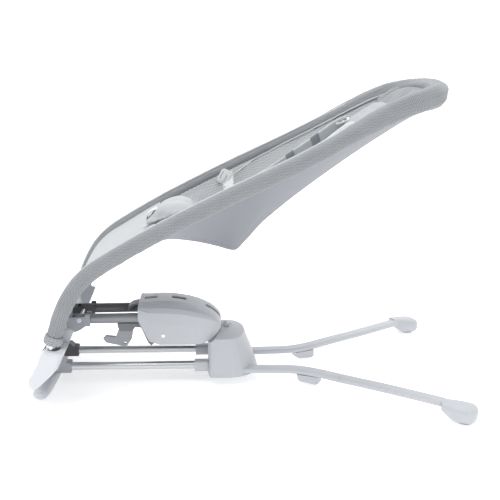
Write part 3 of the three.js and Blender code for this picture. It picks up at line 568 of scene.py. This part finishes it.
# %% Push a section along a line
def frames_along(points):
    """For each point: the point, a level direction across the line, and the direction square to both."""
    made = []
    for i, p in enumerate(points):
        ahead = (points[min(i + 1, len(points) - 1)] - points[max(i - 1, 0)]).normalized()
        level = ahead.cross(Vector((0, 0, 1))).normalized()
        made.append((p, level, level.cross(ahead)))
    return made


def push_section(name, points, section, around):
    """section(share, angle) gives the distance across and up at a share of the length."""
    shape = bmesh.new()
    uv_rows = []
    ring = bmesh.ops.create_circle(shape, segments=around, radius=1)["verts"]
    length = 0.0
    rows = [ring]
    for i in range(1, len(points)):
        edges = [shape.edges.get((rows[-1][j], rows[-1][(j + 1) % around])) for j in range(around)]
        grown = bmesh.ops.extrude_edge_only(shape, edges=edges)["geom"]
        fresh = {v for v in grown if isinstance(v, bmesh.types.BMVert)}
        rows.append([next(e.other_vert(v) for e in v.link_edges if e.other_vert(v) in fresh)
                     for v in rows[-1]])
    for i, (p, level, up) in enumerate(frames_along(points)):
        share = i / (len(points) - 1)
        if i:
            length += (p - points[i - 1]).length
        uv_rows.append(length)
        for j, v in enumerate(rows[i]):
            across, rise = section(share, 2 * math.pi * j / around)
            v.co = p + level * across + up * rise
    cloth = shape.loops.layers.uv.new("cloth")
    for i in range(len(rows) - 1):
        girth = sum((rows[i][j].co - rows[i][(j + 1) % around].co).length for j in range(around))
        for j in range(around):
            k = (j + 1) % around
            face = shape.faces.get((rows[i][j], rows[i][k], rows[i + 1][k], rows[i + 1][j]))
            for loop in face.loops:
                column = j if loop.vert in (rows[i][j], rows[i + 1][j]) else j + 1
                row = i if loop.vert in (rows[i][j], rows[i][k]) else i + 1
                loop[cloth].uv = (girth * column / around, uv_rows[row])
    for row in (rows[0], rows[-1]):
        bmesh.ops.contextual_create(shape, geom=row)
    return finish_mesh(name, shape)


def offset_line(points, across, rise):
    return [p + level * across + up * rise for p, level, up in frames_along(points)]


def cord_round(radius):
    return lambda share, angle: (radius * math.cos(angle), radius * math.sin(angle))


# %% The rim sleeve
HEAD_SHARE, HEAD_REACH, FOOT_REACH = 0.5, 0.17, 0.035
SLEEVE_TALL, SLEEVE_WIDE, HEAD_TALLER, HEAD_WIDER, FOOT_SLIMMER = 15.4, 14.6, 8.5, 6, 1.5


def rim_section(share, angle):
    """Slim at the sides, thick at the head, with long folds that run along it there."""
    head = max(0.0, 1 - abs(share - HEAD_SHARE) / HEAD_REACH) ** 0.8
    foot = max(0.0, 1 - min(share, 1 - share) / FOOT_REACH)
    tall = (SLEEVE_TALL + HEAD_TALLER * head - FOOT_SLIMMER * foot) * MM
    wide = (SLEEVE_WIDE + HEAD_WIDER * head - FOOT_SLIMMER * foot) * MM
    broad, fine = math.sin(angle * 3 + share * 26), math.sin(angle * 7 - share * 44)
    fold = head * (broad + 0.7 * fine) * 1.5 * MM
    slow = math.sin(share * 250) * math.sin(angle * 2 + share * 40)
    ease = (slow + math.sin(share * 611 + angle)) * 0.28 * MM
    c, s = math.cos(angle), math.sin(angle)
    inward = -5.5 * MM * head
    return c * (wide + fold + ease) + inward, s * (tall + fold + ease) + 1.2 * MM * (1 - foot)


FOOT_Z = 0.1375
clear = [k for k, p in enumerate(rim_line) if p.z > FOOT_Z + 0.002]
first, second = rim_line[clear[0]], rim_line[clear[0] + 1]
start = first + (second - first) * ((FOOT_Z - first.z) / (second.z - first.z))
far_start = Vector((start.x, -start.y, start.z))
rim_line = [start] + rim_line[clear[0]:clear[-1] + 1] + [far_start]
rim = push_section("rim_sleeve", rim_line, rim_section, 32)
rim.data.materials.append(KNIT)
hand_to_seat(rim, "knit", "side_roll_near", "side_roll_far", "head_roll")

# %% Hems and piping on the rim
# Two elastic hems grip the tube's ends, and a thin cord marks the seam where the seat joins the rim.


def hem_section(share, angle):
    gather = 0.5 * MM * math.sin(angle * 14 + share * 3)
    radius = SLEEVE_TALL * MM + gather + 0.8 * MM * math.sin(share * math.pi)
    return radius * math.cos(angle), radius * 1.08 * math.sin(angle)


for side_name, piece in (("near", rim_line[:3]), ("far", rim_line[-3:])):
    hem = push_section("rim_hem_" + side_name, even_line(piece, 3 * MM), hem_section, 56)
    hem.data.materials.append(KNIT_FINE)
    hand_to_seat(hem, "knit")

piping_line = offset_line(rim_line[5:-5], -7.5 * MM, 15.3 * MM)
rim_piping = push_section("rim_piping", piping_line, cord_round(2.0 * MM), 10)
rim_piping.data.materials.append(PIPING)
hand_to_seat(rim_piping, "knit")

# %% [markdown]
# ## The calf panel
# A smooth sheet is stretched between the two sides from the front shell up to the knee. It is cut a little
# wide, so it dips between the rims and shows soft pulls that run from side to side.

# %% Calf panel
CALF_FROM, CALF_TO, CALF_WIDE, CALF_SPARE = 0.006, 0.283, 0.37, 1.03
near_half = [p for p in rim_line if p.y <= 0]
near_lengths = [0.0]
for a, b in zip(near_half, near_half[1:]):
    near_lengths.append(near_lengths[-1] + (b - a).length)


def near_rim(distance):
    """The point on the near rim's middle line at a distance from its foot."""
    k = max(i for i, d in enumerate(near_lengths[:-1]) if d <= distance)
    share = (distance - near_lengths[k]) / (near_lengths[k + 1] - near_lengths[k])
    return near_half[k].lerp(near_half[k + 1], share)


def calf_point(u, w):
    distance = CALF_FROM + (CALF_TO - CALF_FROM) * u
    p, ahead = near_rim(distance), near_rim(distance + 4 * MM)
    slope = (ahead - p).normalized()
    up = Vector((-slope.z, 0, slope.x))
    half = abs(p.y) - 9 * MM
    side = 2 * w - 1
    dip = (1 - side ** 2) * (3 + 5 * u) * MM
    pull = 0.8 * MM * math.sin(u * 34 + side * 2.5) * (1 - abs(side)) ** 0.5 * abs(side) * u
    lift = between([(0, 11 * MM), (0.3, 7 * MM), (0.7, 3 * MM), (1, 4 * MM)], u)
    spot = Vector((p.x, side * half, p.z))
    return spot + up * (lift - dip + pull)


calf = cloth_grid("calf_panel_cloth", 96, 64, calf_point, 1.6 * MM, JERSEY)
hand_to_seat(calf, "jersey", "calf_panel")

# %% [markdown]
# ## The bag underneath
# The bag is a thin plain-weave hammock. Its four panels hang from the rims to one low seam, so it is one
# sheet whose height comes from the frame's bag. It bellies a little between the seams, and has small
# wrinkles at the low corner and along the edges.

# %% Bag
BAG_KNEE, BAG_LOW, BAG_HEAD = -188 * MM, -20 * MM, 341 * MM
BAG_NODES = ("bag_seat", "bag_back")
LOW_HALF, KNEE_WIDER, HEAD_NARROWER = 66 * MM, 30 * MM, 24 * MM
SEAM_INSIDE, SEAM_BELOW = 5 * MM, 15 * MM


def bag_half(x):
    """Half the width of the bag's floor: wider towards the knees, narrower towards the head."""
    if x < BAG_LOW:
        return LOW_HALF + KNEE_WIDER * ((BAG_LOW - x) / (BAG_LOW - BAG_KNEE)) ** 1.3
    return LOW_HALF - HEAD_NARROWER * ((x - BAG_LOW) / (BAG_HEAD - BAG_LOW)) ** 0.8


def bag_floor(x):
    found = [height_under(BAG_NODES, x + d, 0, 0.0, 1) for d in (-7 * MM, 0, 7 * MM)]
    found = [z for z in found if z is not None]
    return sum(found) / len(found)


def bag_wrinkle(u, w):
    """Small creases: rays out of the low corner, and short pulls below each rim."""
    side = abs(2 * w - 1)
    low = math.exp(-((u - 0.32) / 0.10) ** 2)
    rays = math.sin(math.atan2(side - 0.35, u - 0.32) * 9) * low * side
    pulls = math.sin(u * 150 + 6 * side) * max(0.0, side - 0.75) * 2
    long_wave = math.sin(u * 17 + side * 3) * (1 - side) * side
    return (2.2 * rays + 0.9 * pulls + 1.5 * long_wave) * MM


def bag_point(u, w):
    x = BAG_KNEE + (BAG_HEAD - BAG_KNEE) * u
    side = 2 * w - 1
    edge = rim_at(x)
    top = Vector((x, edge.y + SEAM_INSIDE, edge.z - SEAM_BELOW))
    floor_z = min(bag_floor(x), top.z - 2 * MM)
    corner = Vector((x, -bag_half(x), floor_z))
    wall = (corner - top).length
    reach = abs(side)
    floor_share = bag_half(x) / (bag_half(x) + wall)
    if reach <= floor_share:
        t = reach / floor_share
        p = Vector((x, -bag_half(x) * t, floor_z - 2 * MM * math.sin(math.pi * (1 - t) / 2)))
    else:
        t = (reach - floor_share) / (1 - floor_share)
        p = corner.lerp(top, t)
        outward = Vector((0, corner.z - top.z, top.y - corner.y)).normalized()
        p += outward * 1.5 * MM * math.sin(math.pi * t)
    p.z += bag_wrinkle(u, w)
    if side > 0:
        p.y = -p.y
    return p


bag = cloth_grid("bag_cloth", 150, 120, bag_point, 1.2 * MM, SLING)
ease = bag.modifiers.new("rounded corners", "SMOOTH")
ease.factor = 0.5
ease.iterations = 6
hand_to_seat(bag, "sling_cloth", *BAG_NODES, "bag_gusset_near", "bag_gusset_far")


def girth_of(place, share):
    return sum((place(share, k / 60) - place(share, (k + 1) / 60)).length for k in range(60))


def length_of(place, share):
    return sum((place(k / 90, share) - place((k + 1) / 90, share)).length for k in range(90))


def flat_size(place):
    """The smallest rectangle of cloth the sheet could be cut from, a little generous."""
    wide = max(girth_of(place, k / 10) for k in range(11))
    long = max(length_of(place, k / 6) for k in range(7))
    return round(wide * 1.02, 3), round(long * 1.02, 3)


bag_flat = flat_size(bag_point)
print("bag flat", bag_flat, "area", round(area_of(bag), 4))

# %% [markdown]
# ## The inner seat
# The inner seat is a thin padded liner in spacer mesh. It hangs between the rims like a trough, deepest over
# the low seam of the bag. Air pressure in a short cloth simulation swells it, as its filling would, and the
# piping comes afterwards, because it is finer than the simulated mesh.

# %% Liner trough
LINER = ("insert_seat", "insert_back")
LINER_FROM, LINER_TO = -158 * MM, 338 * MM


def liner_height(x, y):
    """Top of the frame's plain liner, or its edge beside it."""
    z = height_under(LINER, x, y, 1.0, -1)
    if z is None:
        z = height_under(LINER, x, y * 0.94, 1.0, -1)
    return z


def rim_edge(x):
    """Where the liner is sewn to the near rim: how far out, and how high."""
    p = rim_at(x)
    return abs(p.y) - 14 * MM, p.z + 5 * MM


LINER_GRID = {}


def trough_z(x, y):
    """The plain liner's height, smoothed over the seam between its two solids."""
    key = (round(x / (4 * MM)), round(abs(y) / (4 * MM)))
    if key not in LINER_GRID:
        found = [liner_height(x + d, abs(y)) for d in (-12 * MM, -6 * MM, 0, 6 * MM, 12 * MM)]
        found = [z for z in found if z is not None]
        LINER_GRID[key] = sum(found) / len(found) if found else rim_at(x).z - 14 * MM
    return LINER_GRID[key]


def liner_z(x, y):
    """The trough's height, rising at each side to the seam on the rim."""
    half, high = rim_edge(x)
    inner = half - 20 * MM
    y = min(abs(y), half)
    if y <= inner:
        return trough_z(x, y)
    t = (y - inner) / (half - inner)
    return trough_z(x, inner) * (1 - t) + high * t


AIR_PRESSURE = 4.0
SWELLING_FRAMES = 20


def simulate_padding(piece, voxel, cap):
    """Swells a closed shape with cloth under air pressure and keeps each point within a cap."""
    bpy.context.view_layer.objects.active = piece
    remesh = piece.modifiers.new("remesh", "REMESH")
    remesh.mode = "VOXEL"
    remesh.voxel_size = voxel
    bpy.ops.object.modifier_apply(modifier=remesh.name)
    before = [v.co.copy() for v in piece.data.vertices]
    cloth = piece.modifiers.new("air", "CLOTH")
    cloth.settings.quality = 5
    cloth.settings.use_pressure = True
    cloth.settings.uniform_pressure_force = AIR_PRESSURE
    cloth.settings.effector_weights.gravity = 0
    for frame_number in range(1, SWELLING_FRAMES + 1):
        bpy.context.scene.frame_set(frame_number)
    bpy.ops.object.modifier_apply(modifier=cloth.name)
    bpy.context.scene.frame_set(1)
    for v, start in zip(piece.data.vertices, before):
        moved = v.co - start
        if moved.length > cap:
            v.co = start + moved.normalized() * cap
    soft = piece.modifiers.new("smooth surface", "SUBSURF")
    soft.levels = soft.render_levels = 1
    bpy.ops.object.modifier_apply(modifier=soft.name)
    for face in piece.data.polygons:
        face.use_smooth = True
    print(piece.name, "swollen,", len(piece.data.polygons), "faces")


ACROSS_STRETCH, ALONG_STRETCH, RISE_STRETCH = 1.1, 1.15, 0.3


def flat_map(piece):
    """A map in metres from the piece's plan, stretched a little for the slope of the cloth."""
    cloth = piece.data.uv_layers.get("cloth") or piece.data.uv_layers.new(name="cloth")
    for loop in piece.data.loops:
        p = piece.data.vertices[loop.vertex_index].co
        along = p.x * ALONG_STRETCH + p.z * RISE_STRETCH
        cloth.data[loop.index].uv = (p.y * ACROSS_STRETCH, along)


EDGE_SHARES = 9
EDGE_THICKNESS = 4.6 * MM


def closed_pad(name, rows, columns, top, thickness):
    """A closed pad between a top surface and a lower one, thin at its edges."""
    shape = bmesh.new()
    bmesh.ops.create_grid(shape, x_segments=columns, y_segments=rows, size=0.5)
    shares = {v: (v.co.y + 0.5, v.co.x + 0.5) for v in shape.verts}
    upper = list(shape.verts)
    lower = bmesh.ops.duplicate(shape, geom=shape.verts[:] + shape.edges[:] + shape.faces[:])["vert_map"]
    for v in upper:
        u, w = shares[v]
        edge = min(1.0, EDGE_SHARES * min(u, 1 - u, w, 1 - w)) ** 0.5
        p = top(u, w)
        v.co = p
        thin = max(0.5 * thickness, EDGE_THICKNESS)
        lower[v].co = p - Vector((0, 0, thin * (1 - edge) + thickness * edge))
    faces_below = {f for f in shape.faces if all(v not in shares for v in f.verts)}
    bmesh.ops.reverse_faces(shape, faces=list(faces_below))
    rims = [e for e in shape.edges if e.is_boundary]
    bmesh.ops.bridge_loops(shape, edges=rims)
    return finish_mesh(name, shape)


def liner_point(u, w):
    x = LINER_FROM + (LINER_TO - LINER_FROM) * u
    y = (2 * w - 1) * rim_edge(x)[0]
    return Vector((x, y, liner_z(x, y) + 1 * MM))


liner = closed_pad("liner", 100, 70, liner_point, 9 * MM)
simulate_padding(liner, 4.4 * MM, 2.5 * MM)
flat_map(liner)
liner.data.materials.append(KNIT_FINE)
hand_to_seat(liner, "knit", *LINER)

# %% Piping of the liner
# A cord is sewn along each side of the liner's padded middle. It starts at the waist slots, curves out to
# the rims, and follows them to the head.
PIPING_RADIUS = 1.5 * MM
CORD_FROM, CORD_LONG, CORD_LIFT = -30 * MM, 350 * MM, 5 * MM


def liner_cord(side):
    half_at = [(CORD_FROM, 0.86), (40 * MM, 0.93), (110 * MM, 0.95), (330 * MM, 0.955)]
    line = []
    for k in range(41):
        x = CORD_FROM + CORD_LONG * k / 40
        y = side * rim_edge(x)[0] * between(half_at, x)
        line.append(Vector((x, y, liner_z(x, y) + CORD_LIFT)))
    return line


for side_name, side in (("near", -1), ("far", 1)):
    line = even_line(liner_cord(side), 6 * MM)
    cord = push_section("liner_piping_" + side_name, line, cord_round(PIPING_RADIUS), 8)
    cord.data.materials.append(PIPING)
    hand_to_seat(cord, "knit")

# %% [markdown]
# ## The pillow and the head cover
# The pillow is a separate jersey cushion, crowned in the middle and pulled in at its seams. Behind it the
# cover is gathered round the head of the rim, so its cloth lies in long ridges that fan out towards the bow.

# %% Pillow
PILLOW_FROM, PILLOW_TO, PILLOW_HALF = 192 * MM, 300 * MM, 98 * MM
CORNER_PULL = 0.16


def pillow_outline(u, w):
    """A soft rectangle whose sides pull in between its corners."""
    a, b = 2 * u - 1, 2 * w - 1
    middle, half_long = (PILLOW_FROM + PILLOW_TO) / 2, (PILLOW_TO - PILLOW_FROM) / 2
    x = middle + a * half_long * (1 - 0.10 * (1 - b * b)) * (1 - CORNER_PULL * b ** 4)
    y = b * PILLOW_HALF * (1 - 0.05 * (1 - a * a)) * (1 - CORNER_PULL * a ** 4)
    return x, y, (1 - a ** 4) * (1 - b ** 4)


def pillow_top(u, w):
    x, y, crown = pillow_outline(u, w)
    return Vector((x, y, liner_z(x, 0.45 * abs(y)) + (9 + 17 * crown) * MM))


pillow = closed_pad("pillow", 34, 56, pillow_top, 14 * MM)
simulate_padding(pillow, 4.5 * MM, 7 * MM)
flat_map(pillow)
pillow.data.materials.append(PILLOW)
hand_to_seat(pillow, "jersey", "head_pillow")

# %% Pillow piping
pillow_edge = []
for k in range(96):
    turn = 2 * math.pi * k / 96
    c, sn = math.cos(turn), math.sin(turn)
    reach = min(1 / max(abs(c), abs(sn)), 1.18)
    x, y, _ = pillow_outline(0.5 + 0.5 * c * reach, 0.5 + 0.5 * sn * reach)
    pillow_edge.append(Vector((x, y, liner_z(x, 0.45 * abs(y)) + 4 * MM)))
pillow_edge.append(pillow_edge[0].copy())
edge_cord = push_section("pillow_piping", pillow_edge, cord_round(PIPING_RADIUS), 8)
edge_cord.data.materials.append(PIPING)
hand_to_seat(edge_cord, "jersey")


# %% Head cover
COVER_FROM, COVER_LONG, COVER_LEAST = 286 * MM, 86 * MM, 26 * MM
COVER_INSIDE, COVER_ABOVE_LINER, COVER_ABOVE_BOW = 16 * MM, 9 * MM, 7 * MM
RIDGE = 3.2


def head_point(u, w):
    """From behind the pillow to the inside of the bow, in ridges that fan out."""
    side = 2 * w - 1
    x = COVER_FROM + COVER_LONG * u
    widest = abs(rim_at(min(x, COVER_FROM + COVER_LONG)).y)
    half = max(COVER_LEAST, widest - COVER_INSIDE)
    y = side * half
    low = liner_z(min(x, LINER_TO - 2 * MM), min(abs(y), 0.9 * half)) + COVER_ABOVE_LINER
    over = rim_at(x).z + COVER_ABOVE_BOW
    z = low + (over - low) * between([(0, 0.1), (0.7, 0.9), (1, 1.0)], u)
    waves = math.sin(side * 13 + 1.4 * u) + 0.6 * math.sin(side * 23 - 3 * u)
    ridge = waves * RIDGE * math.sin(math.pi * min(1, 0.15 + u))
    return Vector((x, y, z + (ridge + 5 * math.sin(math.pi * u)) * MM))


head_cover = cloth_grid("head_cover", 44, 110, head_point, 1.8 * MM, KNIT)
hand_to_seat(head_cover, "knit")
head_flat = flat_size(head_point)
print("head cover flat", head_flat, "area", round(area_of(head_cover), 4))

# %% [markdown]
# ## The crotch guard
# A padded tongue rises between the legs where the calf panel meets the liner. A loop of webbing comes
# through a slot in its front, and two snap fasteners hold it to the calf panel.

# %% Crotch guard
GUARD_FROM, GUARD_TO, GUARD_HALF = -198 * MM, -70 * MM, 64 * MM


def guard_top(u, w):
    side = 2 * w - 1
    x = GUARD_FROM + (GUARD_TO - GUARD_FROM) * u
    half = GUARD_HALF * between([(0, 0.45), (0.45, 0.95), (1, 0.9)], u)
    y = side * half
    base = rim_at(x).z + 3 * MM
    crown = between([(0, 3), (0.30, 21), (0.62, 14), (1, 2)], u) * MM
    crease = 1.1 * MM * math.sin(side * 11 + u * 5) * math.sin(math.pi * u)
    on_liner = liner_z(max(x, LINER_FROM + 6 * MM), y) + 6 * MM
    low = base + (on_liner - base) * between([(0, 0), (0.45, 0), (0.9, 1)], u)
    return Vector((x, y, low + crown * (1 - abs(side) ** 2.6) + crease))


guard = closed_pad("crotch_guard_pad", 44, 48, guard_top, 9 * MM)
simulate_padding(guard, 4 * MM, 4 * MM)
flat_map(guard)
guard.data.materials.append(JERSEY)
hand_to_seat(guard, "jersey", "crotch_guard")


# %% Slot, loop and snaps
def rounded_disc(name, centre, normal, radius, height, finish, slot):
    """A low round button with a soft edge, standing on a surface."""
    shape = bmesh.new()
    bmesh.ops.create_cone(
        shape, cap_ends=True, segments=24, radius1=radius, radius2=radius, depth=height)
    sharp = [e for e in shape.edges if e.calc_face_angle(0) > 1]
    bmesh.ops.bevel(
        shape, geom=sharp, offset=height * 0.3, affect="EDGES", segments=3, profile=0.5, material=-1)
    turn = Vector(normal).to_track_quat("Z", "Y").to_matrix().to_4x4()
    shape.transform(Matrix.Translation(centre) @ turn)
    made = finish_mesh(name, shape)
    made.data.materials.append(finish)
    hand_to_seat(made, slot)
    return made


def ribbon(name, points, across, half, thick, finish, slot):
    """Flat webbing along a line: across gives its width direction at a share of its length."""
    def place(u, w):
        k = min(int(u * (len(points) - 1)), len(points) - 2)
        p = points[k].lerp(points[k + 1], u * (len(points) - 1) - k)
        return p + Vector(across(u)).normalized() * (2 * w - 1) * half
    made = cloth_grid(name, (len(points) - 1) * 2, 6, place, thick, finish)
    hand_to_seat(made, slot)
    return made


def arc(points):
    """A smooth line through points given in millimetres."""
    return smooth_line([Vector(p) * MM for p in points], 6)


SLOT_AT, SLOT_TILT, SLOT_HALVES = Vector((-183, 0, 346)) * MM, -0.95, (14 * MM, 21 * MM, 5.5 * MM, 1)
WEB_HALF, WEB_THICK = 12.5 * MM, 1.6 * MM
slot_shape = bmesh.new()
bmesh.ops.create_uvsphere(slot_shape, u_segments=24, v_segments=14, radius=1)
slot_turn = Matrix.Rotation(SLOT_TILT, 4, "Y") @ Matrix.Diagonal(SLOT_HALVES)
slot_shape.transform(Matrix.Translation(SLOT_AT) @ slot_turn)
guard_slot_painted_shade = finish_mesh("crotch_slot_painted_shade", slot_shape)
# The slot's opening is filled by a near-black flattened ball. It is a dark piece of painted shade where the
# opening lies in shadow.
SLOT_PAINTED_SHADE = moulded("slot_painted_shade", (0.02, 0.02, 0.022), 0.9)
guard_slot_painted_shade.data.materials.append(SLOT_PAINTED_SHADE)
hand_to_seat(guard_slot_painted_shade, "dark_plastic")

loop_line = arc([(-199, 0, 334), (-198, 0, 344), (-191, 0, 353), (-180, 0, 358), (-170, 0, 359)])
ribbon("crotch_loop", loop_line, lambda u: (0, 1, 0), WEB_HALF, 2 * MM, WEBBING, "webbing")
for k, y in enumerate((-38 * MM, 38 * MM)):
    x = -200 * MM
    spot = Vector((x, y, rim_at(x).z + 3.5 * MM))
    rounded_disc("snap_%d" % k, spot, (-0.5, 0, 1), 4.2 * MM, 2.4 * MM, BUCKLE, "buckle")

# %% [markdown]
# ## The harness
# Flat webbing comes out of slots in the liner. The shoulder straps hang from below the pillow to the waist,
# with an elastic keeper at each join and a ladder adjuster at the top. The waist straps lie against the
# sides, and the far one ends in a buckle.


# %% Plates with rounded corners
def frame_plate(name, centre, ahead, up, size, hole, thick, finish, slot):
    """A rounded rectangular ring, such as a ladder adjuster or a buckle."""
    shape = bmesh.new()
    x_axis = Vector(ahead).normalized()
    z_axis = Vector(up).normalized()
    y_axis = z_axis.cross(x_axis)
    z_axis = x_axis.cross(y_axis)
    loops = []
    count = 48
    for (long, wide), level in ((size, -0.5), (size, 0.5), (hole, 0.5), (hole, -0.5)):
        made = bmesh.ops.create_circle(shape, segments=count, radius=1)["verts"]
        for k, v in enumerate(made):
            turn = 2 * math.pi * k / count
            c, sn = math.cos(turn), math.sin(turn)
            a = math.copysign(abs(c) ** 0.45, c) * long / 2
            b = math.copysign(abs(sn) ** 0.45, sn) * wide / 2
            v.co = Vector(centre) + x_axis * a + y_axis * b + z_axis * thick * level
        loops.append(made)
    for first, second in zip(loops, loops[1:] + loops[:1]):
        edges = [shape.edges.get((first[k], first[(k + 1) % count])) for k in range(count)]
        edges += [shape.edges.get((second[k], second[(k + 1) % count])) for k in range(count)]
        bmesh.ops.bridge_loops(shape, edges=edges)
    sharp = [e for e in shape.edges if len(e.link_faces) == 2 and e.calc_face_angle(0) > 1.2]
    bmesh.ops.bevel(
        shape, geom=sharp, offset=thick * 0.18, affect="EDGES", segments=2, profile=0.5, material=-1)
    made = finish_mesh(name, shape)
    made.data.materials.append(finish)
    hand_to_seat(made, slot)
    return made


def sided(points, side):
    return [(x, y * side, z) for x, y, z in points]


# %% Shoulder straps
SHOULDER = [(214, 60, 528), (196, 62, 521), (172, 66, 504), (142, 71, 481), (112, 75, 460), (80, 80, 436),
            (46, 88, 412), (12, 97, 392), (-14, 106, 380)]
STRAP_TILT = {"near": (0.30, -0.45, -0.80), "far": (0.30, 0.45, -0.80)}
for side_name, side in (("near", -1), ("far", 1)):
    line = []
    for p in arc(sided(SHOULDER, side)):
        floor = liner_z(p.x, p.y) + 6 * MM
        line.append(Vector((p.x, p.y, max(p.z, floor))))
    tilt = STRAP_TILT[side_name]
    strap = ribbon("shoulder_webbing_" + side_name, line, lambda u: tilt, WEB_HALF, WEB_THICK, WEBBING,
                   "webbing")
    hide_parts("shoulder_strap_" + side_name)
    for k, (a, b) in enumerate(((15, 18), (25, 28))):
        sleeve_line = [p + Vector((0, 0, 0.3 * MM)) for p in line[a:b + 1]]
        ribbon("shoulder_keeper_%s_%d" % (side_name, k), sleeve_line, lambda u: tilt, 14 * MM, 4 * MM,
               ELASTIC, "webbing")
    ahead = line[5] - line[2]
    centre = (line[5] + line[2]) / 2 + Vector((0, 0, 2.5 * MM))
    adjuster = frame_plate("ladder_adjuster_" + side_name, centre, ahead, (-0.55, 0, 0.83), (0.030, 0.034),
                           (0.017, 0.026), 4 * MM, BUCKLE, "buckle")
    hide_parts("shoulder_adjuster_" + side_name)
    bar_line = [centre + Vector((0, d * MM, 1 * MM)) for d in (-14, 0, 14)]
    bar = push_section("adjuster_bar_" + side_name, bar_line, cord_round(2 * MM), 12)
    bar.data.materials.append(BUCKLE)
    hand_to_seat(bar, "buckle")

# %% Waist straps
WAIST = [(-30, 158, 407), (-31, 150, 396), (-32, 143, 384), (-32, 133, 372), (-33, 118, 356), (-33, 100, 344)]
for side_name, side in (("near", -1), ("far", 1)):
    line = []
    for p in arc(sided(WAIST, side)):
        line.append(Vector((p.x, p.y, max(p.z, liner_z(p.x, p.y) + 5 * MM))))
    strap = ribbon("waist_webbing_" + side_name, line, lambda u: (1, 0, 0.4), WEB_HALF, WEB_THICK, WEBBING,
                   "webbing")
    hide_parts("waist_strap_" + side_name)
BUCKLE_AHEAD, BUCKLE_UP = (0.45, 0.3, 0.84), (0.1, -0.9, 0.35)
buckle = frame_plate("waist_buckle_frame", Vector((-38, 146, 398)) * MM, BUCKLE_AHEAD, BUCKLE_UP,
                     (0.034, 0.030), (0.019, 0.020), 6 * MM, BUCKLE, "buckle")
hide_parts("waist_buckle")
frame_plate("waist_buckle_tongue", Vector((-37, 143, 398)) * MM, BUCKLE_AHEAD, BUCKLE_UP,
            (0.024, 0.019), (0.006, 0.004), 4 * MM, BUCKLE, "buckle")
